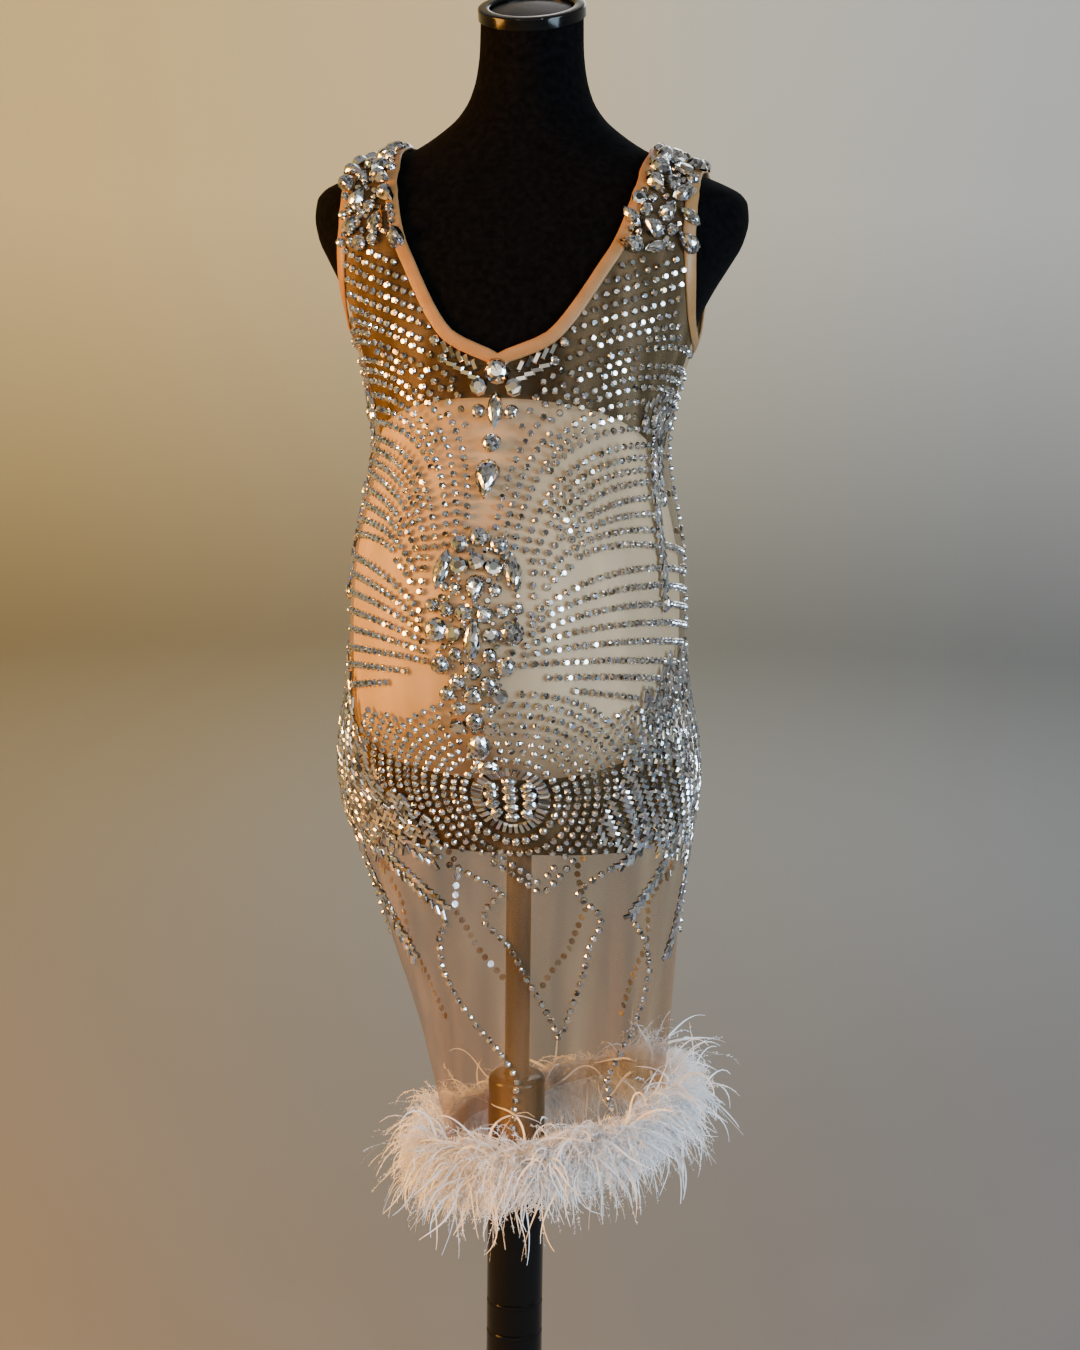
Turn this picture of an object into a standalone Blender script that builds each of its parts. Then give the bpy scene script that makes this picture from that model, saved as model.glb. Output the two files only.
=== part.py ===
"""A sleeveless sheer dress with raised stones and a feather hem, on its limbless dress form.

Metres, +Z up, the front faces -Y. The origin is the centre of the base's underside, on the
axis of the pole. A bearing is an angle about that axis: 0 is the front, 90 the side at +X,
180 the back. Every cloth surface is a function of a bearing and a height.
"""
import math

import bmesh
import bpy
from mathutils import Matrix, Vector

# Cloth, gaps and seams
WALL = 0.0015
SEAM_GAP = 0.0003
CLOTH_CLEARANCE = 0.0012
SHOULDER_CLEARANCE = 0.0027
SHOULDER_CLEARANCE_FROM = 1.120
SHOULDER_CLEARANCE_FULL = 1.160
PAD_CLEARANCE = 0.0011
BINDING_WIDTH = 0.0105
BINDING_THICKNESS = 0.0011
BINDING_GAP = 0.0004
BINDING_WIDEST_SHARE = 0.36
BINDING_LEAST_SLOPE = 0.5
BINDING_LOOK_AHEAD = 0.1

# Heights
NECK_TOP = 1.440
TORSO_BOTTOM = 0.722
HEM = 0.442
HEM_TILT = 0.030
HEM_TILT_FADES_AT = 0.640
CHEST = 1.145
CREST_RANGE = (1.280, 1.372)

# Stand
POLE_RADIUS = 0.0115
BORE_RADIUS = 0.0119
POLE_BOTTOM = 0.220
POLE_TOP = 0.7717
SOCKET_TOP = 0.772
TUBE_RADIUS = 0.0265
TUBE_TOP = 0.488
TUBE_FLOOR = 0.034
TUBE_SHOULDER = 0.007
TUBE_SHOULDER_MIDDLE = (0.0022, 0.002)
GROOVE_TOP = 0.2625
GROOVE_PITCH = 0.031
GROOVE_COUNT = 8
GROOVE_HALF_HEIGHT = 0.0022
GROOVE_DEPTH = 0.0018
BASE_THICKNESS = 0.020
STAND_SIDES = 24
BASE_SIDES = 40

# The foot's section between its underside and its top. Columns: radius, height
BASE_SECTION = (
    (0.168, 0.0), (0.170, 0.003), (0.170, 0.008), (0.166, 0.012), (0.060, 0.0165),
    (0.036, 0.020),
)

# Neck end
NECK_TILT = math.radians(20)
NECK_TILT_FROM = 1.365
NECK_MIDDLE = 0.020
RING_RADIUS = 0.0465
RING_HEIGHT = 0.010
RING_LIP = 0.0015
CAP_RADIUS = 0.036

# The cap's domed top. Columns: radius, height
CAP_DOME = ((0.0357, 0.0055), (0.032, 0.0072), (0.012, 0.0085), (0.0, 0.0087))

# The cloth's inner surface. The same sections carry the form above the belly and at the hips.
SKIN_COLUMNS = ("z", "half", "front", "back", "middle", "power")
SKIN = (
    (0.410, 0.0930, 0.093, 0.097, 0.000, 2.05),
    (0.440, 0.0945, 0.094, 0.098, 0.000, 2.05),
    (0.482, 0.1020, 0.096, 0.099, 0.000, 2.05),
    (0.532, 0.1115, 0.098, 0.100, 0.000, 2.05),
    (0.580, 0.1210, 0.101, 0.101, 0.000, 2.10),
    (0.628, 0.1310, 0.105, 0.102, 0.000, 2.15),
    (0.676, 0.1405, 0.110, 0.103, 0.000, 2.20),
    (0.718, 0.1500, 0.117, 0.105, 0.000, 2.20),
    (0.753, 0.1580, 0.127, 0.107, 0.000, 2.25),
    (0.785, 0.1605, 0.144, 0.108, 0.000, 2.25),
    (0.823, 0.1570, 0.173, 0.108, 0.000, 2.20),
    (0.857, 0.1500, 0.198, 0.106, 0.000, 2.15),
    (0.890, 0.1460, 0.211, 0.098, 0.000, 2.10),
    (0.930, 0.1455, 0.215, 0.086, 0.000, 2.05),
    (0.978, 0.1430, 0.205, 0.077, 0.000, 2.05),
    (1.018, 0.1370, 0.187, 0.075, 0.000, 2.05),
    (1.045, 0.1310, 0.171, 0.076, 0.000, 2.10),
    (1.079, 0.1275, 0.149, 0.081, 0.000, 2.15),
    (1.110, 0.1325, 0.131, 0.087, 0.000, 2.20),
    (1.145, 0.1410, 0.1205, 0.094, 0.002, 2.25),
    (1.168, 0.1490, 0.1185, 0.098, 0.005, 2.30),
    (1.190, 0.1560, 0.1130, 0.100, 0.008, 2.30),
    (1.210, 0.1660, 0.1050, 0.102, 0.011, 2.30),
    (1.230, 0.1780, 0.0960, 0.104, 0.015, 2.30),
    (1.250, 0.1890, 0.0860, 0.104, 0.018, 2.30),
    (1.270, 0.1935, 0.0760, 0.102, 0.020, 2.30),
    (1.285, 0.1920, 0.0680, 0.099, 0.021, 2.30),
    (1.295, 0.1850, 0.0620, 0.096, 0.022, 2.25),
    (1.303, 0.1700, 0.0560, 0.093, 0.022, 2.25),
    (1.311, 0.1500, 0.0510, 0.090, 0.022, 2.20),
    (1.323, 0.1200, 0.0430, 0.085, 0.022, 2.15),
    (1.332, 0.1000, 0.0380, 0.081, 0.022, 2.10),
    (1.345, 0.0800, 0.0340, 0.076, 0.021, 2.05),
    (1.357, 0.0660, 0.0310, 0.073, 0.021, 2.00),
    (1.372, 0.0560, 0.0290, 0.070, 0.020, 2.00),
    (1.392, 0.0500, 0.0280, 0.068, 0.020, 2.00),
    (1.414, 0.0475, 0.0275, 0.0675, 0.020, 2.00),
    (1.440, 0.0470, 0.0270, 0.067, 0.020, 2.00),
)

# The form below the chest, where the belly pad fills what it leaves
TORSO = (
    (0.722, 0.1270, 0.076, 0.079, 0.000, 2.20),
    (0.730, 0.1420, 0.088, 0.091, 0.000, 2.20),
    (0.742, 0.1520, 0.096, 0.100, 0.000, 2.25),
    (0.758, 0.1565, 0.101, 0.106, 0.000, 2.25),
    (0.785, 0.1590, 0.104, 0.107, 0.000, 2.25),
    (0.823, 0.1540, 0.106, 0.108, 0.000, 2.20),
    (0.857, 0.1440, 0.107, 0.106, 0.000, 2.15),
    (0.890, 0.1370, 0.106, 0.098, 0.000, 2.10),
    (0.930, 0.1310, 0.104, 0.086, 0.000, 2.05),
    (0.978, 0.1270, 0.100, 0.077, 0.000, 2.05),
    (1.018, 0.1230, 0.098, 0.075, 0.000, 2.05),
    (1.045, 0.1230, 0.099, 0.076, 0.000, 2.10),
    (1.079, 0.1265, 0.1035, 0.081, 0.000, 2.15),
    (1.110, 0.1325, 0.1115, 0.087, 0.000, 2.20),
)

# How the hanging skirt leans towards +X and turns about the axis
SKIRT_COLUMNS = ("z", "lean", "turn")
SKIRT = (
    (0.410, 0.032, 17),
    (0.440, 0.031, 17),
    (0.532, 0.025, 17),
    (0.580, 0.020, 16),
    (0.628, 0.014, 15),
    (0.676, 0.009, 13),
    (0.718, 0.004, 11),
    (0.753, 0.000, 8),
    (0.785, 0.000, 4),
    (0.823, 0.000, 1.5),
    (0.857, 0.000, 0),
)

FOLD_GROWTH = 1.2

# Soft folds of the skirt. Columns: bearing, half width in degrees, depth at the hem, top
FOLDS = (
    (-70, 13, 0.0065, 0.70),
    (-44, 10, -0.0070, 0.66),
    (-20, 9, 0.0075, 0.64),
    (2, 8, -0.0065, 0.72),
    (24, 9, 0.0095, 0.70),
    (47, 9, -0.0080, 0.64),
    (72, 11, 0.0070, 0.70),
    (108, 14, -0.0070, 0.66),
    (142, 13, 0.0080, 0.68),
    (176, 13, -0.0065, 0.64),
    (-140, 14, 0.0075, 0.68),
    (-104, 13, -0.0060, 0.66),
)

TORSO_SIDES = 32

# Belly pad, an oval on the front of the form
PAD_MIDDLE = 0.958
PAD_UP = 0.166
PAD_DOWN = 0.160
PAD_REACH = 104
PAD_ROUNDNESS = 1.9
PAD_RIM = 0.0015
PAD_INSIDE_RIM_GAP = 0.0014
PAD_INSIDE_GAP = 0.0060
PAD_EDGE_POWER = 8
PAD_INSIDE_POWER = 6
PAD_RINGS = (1.0, 0.975, 0.92, 0.80, 0.60, 0.33)
PAD_SIDES = 36

# Rows of the cloth from the hem to below the armholes: height at the middle and at the side
BODY_ROWS = (
    (0.442, 0.442), (0.478, 0.478), (0.516, 0.516), (0.556, 0.556), (0.596, 0.596),
    (0.636, 0.636), (0.674, 0.674), (0.708, 0.708), (0.738, 0.738), (0.763, 0.763),
    (0.787, 0.787), (0.811, 0.811), (0.835, 0.835), (0.859, 0.859), (0.883, 0.883),
    (0.907, 0.907), (0.931, 0.931), (0.955, 0.955), (0.979, 0.979), (1.003, 1.003),
    (1.027, 1.028), (1.051, 1.054), (1.075, 1.081), (1.099, 1.108), (1.122, 1.135),
    (1.145, 1.1575), (1.160, 1.168),
)

# The armhole's edge above its bottom, shared by front and back. Columns: half width, height
ARMHOLE = (
    (0.1505, 1.180), (0.1510, 1.195), (0.1520, 1.212), (0.1525, 1.230), (0.1525, 1.248),
    (0.1520, 1.265), (0.1520, 1.280), (0.1520, 1.293), (0.1520, 1.303),
    (0.1520, 1.3085),
)
STRAP_OUTSIDE = 0.152
STRAP_INSIDE = 0.106

# The V at the front and the scoop at the back. Columns: half width, height
FRONT_NECK = (
    (0.0400, 1.178), (0.0560, 1.197), (0.0680, 1.216), (0.0790, 1.235), (0.0890, 1.253),
    (0.0955, 1.271), (0.1000, 1.288), (0.1035, 1.304), (0.1055, 1.318),
    (0.1060, 1.328),
)
BACK_MIDDLE_ROWS = (1.180, 1.205, 1.228, 1.2485, 1.260)
BACK_NECK = (
    (0.0480, 1.276), (0.0760, 1.290), (0.0930, 1.304), (0.1020, 1.318), (0.1050, 1.3275),
)

# Columns between the middle and a side seam
FRONT_COLUMNS = 14
BACK_COLUMNS = 8
MIDDLE_COLUMN_SHARE = 0.036
FRONT_NOTCH_SHARE = 0.11
BACK_NOTCH_SHARE = 0.20
ARMHOLE_SHARE = 0.07

# Raised stones
STONE_BORDER = 0.0012
STONE_HEIGHT = 0.0042
STRAP_STONE_HEIGHT = 0.0050
FRONT_STRAP_STONE_ROWS = 7
BACK_STRAP_STONE_ROWS = 4

# Stones down the centre front. Columns: row of the front's faces from the hem, height factor
MIDDLE_STONES = (
    (23, 1.0), (22, 0.8), (21, 1.1), (19, 1.0), (18, 1.0), (17, 1.0), (16, 1.1),
    (15, 0.9), (14, 1.0), (13, 0.9), (12, 1.1), (10, 1.0), (9, 0.9),
)
SIDE_STONE_ROWS = (18, 17, 16, 15)
SIDE_STONE_COLUMN = 2
SIDE_STONE_FACTOR = 0.8

# Feather trim
TRIM_BOTTOM = 0.003
TRIM_TOP = 0.013
TRIM_THICKNESS = 0.0025
TRIM_GAP = 0.0005
LOCKS_PER_COLUMN = 2
LOCK_SWELL = 0.62
LOCK_SIDE_SWING = 0.006

# Locks of the trim. Columns: out and up to the middle, out and up to the tip, how much the tip
# follows the wave out and up, and how much further out it reaches at the +X side
LOCK_COLUMNS = ("mid_out", "mid_up", "out", "up", "wave_out", "wave_up", "side_out")
HANGING_LOCK = (0.020, -0.024, 0.030, -0.085, 0.010, 0.022, 0.008)
RISING_LOCK = (0.022, 0.012, 0.044, 0.030, 0.010, 0.016, 0.014)
LEVEL_LOCK = (0.030, -0.004, 0.056, -0.040, 0.000, 0.018, 0.012)

# Steps for measuring slopes, in degrees and metres
SLOPE_TURN = 0.4
SLOPE_RISE = 0.0008


def named_curve(table, columns, name):
    """The (height, value) pairs of one named column."""
    index = columns.index(name)
    return [(row[0], row[index]) for row in table]


def blended_slope(before, after):
    """A slope that never overshoots where a curve turns."""
    if before * after <= 0:
        return 0.0
    return 2 * before * after / (before + after)


def along(curve, z):
    """A smooth value through (height, value) pairs, level past both ends."""
    if z <= curve[0][0]:
        return curve[0][1]
    if z >= curve[-1][0]:
        return curve[-1][1]
    i = max(k for k in range(len(curve) - 1) if curve[k][0] <= z)
    slopes = [(curve[k + 1][1] - curve[k][1]) / (curve[k + 1][0] - curve[k][0])
              for k in range(max(i - 1, 0), min(i + 2, len(curve) - 1))]
    here = slopes[1] if i > 0 else slopes[0]
    start = blended_slope(slopes[0], here) if i > 0 else here
    end = blended_slope(here, slopes[-1])
    span = curve[i + 1][0] - curve[i][0]
    t = (z - curve[i][0]) / span
    low, high = curve[i][1], curve[i + 1][1]
    return ((2 * t**3 - 3 * t**2 + 1) * low + (t**3 - 2 * t**2 + t) * span * start
            + (3 * t**2 - 2 * t**3) * high + (t**3 - t**2) * span * end)


def curves_of(table, columns):
    return {name: named_curve(table, columns, name) for name in columns[1:]}


SKIN_CURVES = curves_of(SKIN, SKIN_COLUMNS)
FORM_SECTIONS = TORSO + tuple(row for row in SKIN if row[0] >= CHEST)
TORSO_CURVES = curves_of(FORM_SECTIONS, SKIN_COLUMNS)
SKIRT_CURVES = curves_of(SKIRT, SKIRT_COLUMNS)


def section_point(curves, bearing, z):
    """A point of the rounded section at height z."""
    half, front, back, middle, power = (along(curves[name], z) for name in SKIN_COLUMNS[1:])
    angle = math.radians(bearing)
    across, away = math.sin(angle), math.cos(angle)
    x = half * math.copysign(abs(across) ** (2 / power), across)
    depth = abs(away) ** (2 / power)
    y = middle - (front + middle) * depth if away > 0 else middle + (back - middle) * depth
    return Vector((x, y, z))


def fold_height(bearing, z):
    """How far the skirt's folds push the cloth out at a bearing of the cloth."""
    total = 0.0
    for centre, spread, depth, top in FOLDS:
        if z < top:
            apart = (bearing - centre + 180) % 360 - 180
            grown = ((top - z) / (top - HEM)) ** FOLD_GROWTH
            total += depth * grown * math.exp(-(apart / spread) ** 2)
    return total


def skin(bearing, z):
    """The cloth's inner surface at a bearing of the cloth."""
    point = section_point(SKIN_CURVES, bearing + along(SKIRT_CURVES["turn"], z), z)
    outwards = Vector((point.x, point.y, 0)).normalized()
    point += outwards * fold_height(bearing, z)
    point.x += along(SKIRT_CURVES["lean"], z)
    return point


def torso_surface(bearing, z):
    """The form before it is drawn in by the cloth's clearance."""
    return section_point(TORSO_CURVES, bearing, z)


def outward(surface, bearing, z):
    """The unit normal of a surface of bearing and height, pointing out."""
    along_bearing = surface(bearing + SLOPE_TURN, z) - surface(bearing - SLOPE_TURN, z)
    up = surface(bearing, z + SLOPE_RISE) - surface(bearing, z - SLOPE_RISE)
    return along_bearing.cross(up).normalized()


def lifted(surface, bearing, z, distance):
    return surface(bearing, z) + outward(surface, bearing, z) * distance


def form_clearance(z):
    """How far the form lies inside the cloth, more at the shoulders' tight curves."""
    span = SHOULDER_CLEARANCE_FULL - SHOULDER_CLEARANCE_FROM
    share = max(0.0, min(1.0, (z - SHOULDER_CLEARANCE_FROM) / span))
    return CLOTH_CLEARANCE + (SHOULDER_CLEARANCE - CLOTH_CLEARANCE) * share


def form_surface(bearing, z):
    """The form's own surface, with its neck's top tilted."""
    point = lifted(torso_surface, bearing, z, -form_clearance(z))
    share = max(0.0, (z - NECK_TILT_FROM) / (NECK_TOP - NECK_TILT_FROM))
    point.z += share * (point.y - NECK_MIDDLE) * math.tan(NECK_TILT)
    return point


def half_width(z):
    return along(SKIN_CURVES["half"], z)


def bearing_at(x, z):
    """The bearing, from 0 to 90, where the section at z is x wide."""
    power = along(SKIN_CURVES["power"], z)
    return math.degrees(math.asin(min(1.0, x / half_width(z)) ** (power / 2)))


def crest_height(x):
    """The height of the shoulder's crest at half width x."""
    low, high = CREST_RANGE
    for _ in range(40):
        middle = (low + high) / 2
        if half_width(middle) > x:
            low = middle
        else:
            high = middle
    return (low + high) / 2


def hem_height(bearing, z):
    """A row's height with the hem's tilt, which fades out up the skirt."""
    share = max(0.0, min(1.0, (HEM_TILT_FADES_AT - z) / (HEM_TILT_FADES_AT - HEM)))
    geometric = math.radians(bearing + along(SKIRT_CURVES["turn"], z))
    return z + HEM_TILT * share * math.sin(geometric)


def material(name, colour, roughness):
    """A named material with one Principled shader."""
    made = bpy.data.materials.new(name)
    made.use_nodes = True
    shader = made.node_tree.nodes["Principled BSDF"]
    shader.inputs["Base Color"].default_value = (*colour, 1.0)
    shader.inputs["Roughness"].default_value = roughness
    made.diffuse_color = (*colour, 1.0)
    return made


def finished_object(name, bm, look, parent=None, smooth_angle=40):
    """Closes a bmesh into a named, smooth object with its own material."""
    bmesh.ops.recalc_face_normals(bm, faces=bm.faces)
    mesh = bpy.data.meshes.new(name)
    bm.to_mesh(mesh)
    bm.free()
    mesh.shade_smooth()
    mesh.set_sharp_from_angle(angle=math.radians(smooth_angle))
    made = bpy.data.objects.new(name, mesh)
    bpy.context.scene.collection.objects.link(made)
    mesh.materials.append(look)
    made.parent = parent
    return made


def close_wall(bm, outer, inner):
    """Joins an outer and an inner sheet with the same keys along their open edges."""
    partner = {outer[key]: inner[key] for key in outer}
    open_edges = [edge for edge in bm.edges
                  if len(edge.link_faces) == 1 and edge.verts[0] in partner]
    for edge in open_edges:
        a, b = edge.verts
        bm.faces.new((a, b, partner[b], partner[a]))


class Panel:
    """One cut piece of the dress: a grid of bearings and heights from hem to shoulder."""

    def __init__(self, is_front):
        self.is_front = is_front
        self.columns = FRONT_COLUMNS if is_front else BACK_COLUMNS
        self.seam_side = -1 if is_front else 1
        self.middle_rows = list(BODY_ROWS)
        neck, armhole = FRONT_NECK, ARMHOLE
        if not is_front:
            sides = [z for _, z in ARMHOLE[:len(BACK_MIDDLE_ROWS)]]
            self.middle_rows = self.middle_rows + list(zip(BACK_MIDDLE_ROWS, sides))
            neck = BACK_NECK
        self.notch = len(self.middle_rows) - 1
        self.armhole_row = len(BODY_ROWS) - 1
        strap = armhole[len(armhole) - len(neck):]
        self.strap_rows = [(bearing_at(nx, nz), nz, bearing_at(ax, az), az)
                           for (nx, nz), (ax, az) in zip(neck, strap)]
        self.strap_rows.append((90, crest_height(STRAP_INSIDE), 90, crest_height(STRAP_OUTSIDE)))
        self.crest = self.notch + len(self.strap_rows)
        self.places = {}
        self.lay_body()
        self.lay_straps()

    def add(self, key, bearing, z):
        """Keeps a grid point for one side; bearings at the back count down from 180."""
        row, column, side = key
        turned = bearing if self.is_front else 180 - bearing
        self.places[key] = (side * turned, z)

    def side_of_row(self, row):
        """The outer end of a row below the notch: the seam, or the armhole's edge."""
        z = self.middle_rows[row][1]
        if row <= self.armhole_row:
            return 90, z
        return bearing_at(ARMHOLE[row - self.armhole_row - 1][0], z), z

    def lay_body(self):
        for row, (middle_z, _) in enumerate(self.middle_rows):
            end, side_z = self.side_of_row(row)
            for column, share in enumerate(self.body_shares(row)):
                z = middle_z + (side_z - middle_z) * share
                for side in (-1, 1):
                    self.add((row, column, side), end * share, z)

    def body_shares(self, row):
        """Column places along a row, with narrow ones at the middle and under the bindings."""
        inner = self.columns - 1
        first = MIDDLE_COLUMN_SHARE
        last = 1 - (1 - first) / inner
        notch_share = FRONT_NOTCH_SHARE if self.is_front else BACK_NOTCH_SHARE
        if row == self.notch:
            first = notch_share
        elif row == self.notch - 1:
            first = (first + notch_share) / 2
        if row >= self.armhole_row:
            last = 1 - ARMHOLE_SHARE
        spread = [first + (last - first) * k / (inner - 1) for k in range(inner)]
        return [0.0] + spread + [1.0]

    def lay_straps(self):
        """Straps have half the columns; the first and last are one binding wide."""
        count = self.columns // 2
        for i, (neck_bearing, neck_z, arm_bearing, arm_z) in enumerate(self.strap_rows):
            first, last = self.binding_shares(i)
            for column in range(count + 1):
                share = first + (last - first) * (column - 1) / (count - 2)
                share = 0 if column == 0 else 1 if column == count else share
                bearing = neck_bearing + (arm_bearing - neck_bearing) * share
                z = neck_z + (arm_z - neck_z) * share
                for side in (-1, 1):
                    self.add((self.notch + 1 + i, 2 * column, side), bearing, z)

    def edge_point(self, i, share):
        neck_bearing, neck_z, arm_bearing, arm_z = self.strap_rows[i]
        bearing = neck_bearing + (arm_bearing - neck_bearing) * share
        turned = bearing if self.is_front else 180 - bearing
        return skin(turned, neck_z + (arm_z - neck_z) * share)

    def binding_shares(self, i):
        """Where a row meets the inner edges of the neck and armhole bindings."""
        parts = 8
        steps = [self.edge_point(i, k / parts) for k in range(parts + 1)]
        length = sum((b - a).length for a, b in zip(steps, steps[1:]))
        if i == len(self.strap_rows) - 1:
            return BINDING_WIDTH / length, 1 - BINDING_WIDTH / length
        shares = []
        for end, near in ((0, BINDING_LOOK_AHEAD), (1, 1 - BINDING_LOOK_AHEAD)):
            ahead = self.edge_point(i + 1, end)
            behind = self.edge_point(max(i - 1, 0), end)
            slope = (ahead - behind).normalized()
            across = (self.edge_point(i, near) - self.edge_point(i, end)).normalized()
            width = BINDING_WIDTH / max(BINDING_LEAST_SLOPE, slope.cross(across).length)
            shares.append(min(width / length, BINDING_WIDEST_SHARE))
        return shares[0], 1 - shares[1]

    def key(self, row, column, side):
        """Both halves share the middle up to the notch."""
        if column == 0 and row <= self.notch:
            return (row, 0, 1)
        return (row, column, side)

    def point(self, key, distance):
        """A grid point lifted off the skin, half a seam gap short of its seams."""
        row, column, side = key
        bearing, z = self.places[key]
        z = hem_height(bearing, z)
        place = lifted(skin, bearing, z, distance)
        at_side_seam = column == self.columns and row <= self.armhole_row
        if at_side_seam or row == self.crest:
            place.y += self.seam_side * SEAM_GAP / 2
        return place

    def row_columns(self, row):
        step = 1 if row <= self.notch else 2
        return range(0, self.columns + 1, step)

    def used_keys(self):
        return sorted({self.key(row, column, side) for side in (-1, 1)
                       for row in range(self.crest + 1) for column in self.row_columns(row)})

    def face_keys(self):
        """Corner keys of each face, by row, column and side."""
        faces = {}
        for side in (-1, 1):
            for row in range(self.crest):
                if row == self.notch:
                    self.join_strap(faces, side)
                    continue
                step = 1 if row < self.notch else 2
                for column in range(0, self.columns, step):
                    ends = (column, column + step)
                    corners = [self.key(row, c, side) for c in ends]
                    corners += [self.key(row + 1, c, side) for c in reversed(ends)]
                    self.add_quad(faces, (row, column, side), corners)
        return faces

    def add_quad(self, faces, label, corners):
        """One face, or two triangles under a binding, which repeats the same split."""
        row, column, _ = label
        low_middle, low_side, high_side, high_middle = corners
        turns_notch = column == 0 and row == self.notch - 1
        turns_armhole = column == self.columns - 1 and row == self.armhole_row - 1
        under_neck = column == 0 and row > self.notch
        near_side = column >= self.columns - 2 if row > self.notch else column == self.columns - 1
        under_armhole = near_side and row >= self.armhole_row
        if turns_notch or under_armhole:
            faces[label] = [low_middle, high_side, high_middle]
            faces[label + ("side",)] = [low_middle, low_side, high_side]
        elif turns_armhole or under_neck:
            faces[label] = [low_middle, low_side, high_middle]
            faces[label + ("side",)] = [low_side, high_side, high_middle]
        else:
            faces[label] = corners

    def join_strap(self, faces, side):
        """The row where two columns of the body meet one of the strap."""
        row = self.notch
        for column in range(0, self.columns, 2):
            low = [self.key(row, column + k, side) for k in range(3)]
            high = [self.key(row + 1, column, side), self.key(row + 1, column + 2, side)]
            faces[(row, column, side)] = [low[0], low[1], high[0]]
            faces[(row, column + 1, side)] = [low[1], high[1], high[0]]
            faces[(row, column + 2, side, "end")] = [low[1], low[2], high[1]]

    def build(self, name, look, parent, stones):
        """The wall: an outer and an inner sheet, closed at its edges, with raised stones."""
        bm = bmesh.new()
        keys = self.used_keys()
        outer = {key: bm.verts.new(self.point(key, WALL)) for key in keys}
        inner = {key: bm.verts.new(self.point(key, 0)) for key in keys}
        outer_faces = {}
        for label, corners in self.face_keys().items():
            outer_faces[label] = bm.faces.new([outer[key] for key in corners])
            bm.faces.new([inner[key] for key in reversed(corners)])
        close_wall(bm, outer, inner)
        bmesh.ops.recalc_face_normals(bm, faces=bm.faces)
        for labels, height in stones:
            raise_stone(bm, [outer_faces[label] for label in labels], height)
        return finished_object(name, bm, look, parent, smooth_angle=50)


def raise_stone(bm, faces, height):
    """Lifts a group of outer faces as one stone, inside a narrow border."""
    bm.normal_update()
    normal = sum((face.normal for face in faces), Vector()).normalized()
    bmesh.ops.inset_region(bm, faces=faces, thickness=STONE_BORDER, use_even_offset=True)
    corners = {vert for face in faces for vert in face.verts}
    bmesh.ops.translate(bm, verts=list(corners), vec=normal * height)


def middle_stones():
    """Stones over the two middle columns, and smaller ones beside the widest rows."""
    stones = [([(row, 0, -1), (row, 0, 1)], STONE_HEIGHT * factor)
              for row, factor in MIDDLE_STONES]
    for row in SIDE_STONE_ROWS:
        for side in (-1, 1):
            label = (row, SIDE_STONE_COLUMN, side)
            stones.append(([label], STONE_HEIGHT * SIDE_STONE_FACTOR))
    return stones


def strap_stones(panel, first_row):
    """Stones in every other face of the straps, between the bindings."""
    stones = []
    count = panel.columns // 2
    for row in range(first_row, panel.crest):
        for column in range(1, count - 1):
            if (row + column) % 2 == 0:
                for side in (-1, 1):
                    stones.append(([(row, 2 * column, side)], STRAP_STONE_HEIGHT))
    return stones


def binding(name, loops, look, parent):
    """A closed strip over cloth edges: loops of (panel, edge key, inner key) in order."""
    bm = bmesh.new()
    under = BINDING_GAP + WALL
    over = under + BINDING_THICKNESS
    made = {}

    def corner(panel, key, distance):
        label = (panel.is_front, key, distance)
        if label not in made:
            made[label] = bm.verts.new(panel.point(key, distance))
        return made[label]

    rings = [[corner(panel, key, distance)
              for key, distance in ((edge, under), (inner, under), (inner, over), (edge, over))]
             for panel, edge, inner in loops]
    rows = [edge[0] for _, edge, _ in loops]
    for i, ring in enumerate(rings):
        n = (i + 1) % len(rings)
        low, high = (ring, rings[n]) if rows[i] <= rows[n] else (rings[n], ring)
        for side_from, side_to in ((0, 1), (1, 2), (3, 2), (0, 3)):
            add_face(bm, (low[side_from], low[side_to], high[side_from]))
            add_face(bm, (low[side_to], high[side_to], high[side_from]))
    return finished_object(name, bm, look, parent)


def add_face(bm, corners):
    """A face of the corners that differ, or none where they fall together."""
    corners = [corner for i, corner in enumerate(corners) if corner not in corners[:i]]
    if len(corners) > 2:
        bm.faces.new(corners)


def notch_stations(panel, side):
    """Three stations that turn round the lowest point of a neckline, from one side."""
    tip = (panel.notch, 0, 1)
    return [(panel, tip, (panel.notch, 1, -side)), (panel, tip, (panel.notch - 1, 0, 1)),
            (panel, tip, (panel.notch, 1, side))]


def strap_stations(panel, rows, side):
    return [(panel, (row, 0, side), (row, 2, side)) for row in rows]


def neck_loop(front, back):
    """Edge and inner keys round the whole neckline."""
    stations = notch_stations(front, 1)
    stations += strap_stations(front, range(front.notch + 1, front.crest + 1), 1)
    stations += strap_stations(back, range(back.crest - 1, back.notch, -1), 1)
    stations += notch_stations(back, -1)
    stations += strap_stations(back, range(back.notch + 1, back.crest), -1)
    stations += strap_stations(front, range(front.crest, front.notch, -1), -1)
    return stations


def armhole_loop(front, back, side):
    """Edge and inner keys round one armhole."""
    start = front.armhole_row
    end_front, end_back = front.columns, back.columns
    bottom = (start, end_front, side)
    stations = [(front, bottom, (start - 1, end_front, side)),
                (front, bottom, (start, end_front - 1, side))]
    for row in range(start + 1, front.crest + 1):
        stations.append((front, (row, end_front, side), (row, end_front - 2, side)))
    for row in range(back.crest - 1, start, -1):
        inner = end_back - 1 if row <= back.notch else end_back - 2
        stations.append((back, (row, end_back, side), (row, inner, side)))
    stations.append((back, (start, end_back, side), (start, end_back - 1, side)))
    return stations


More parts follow.
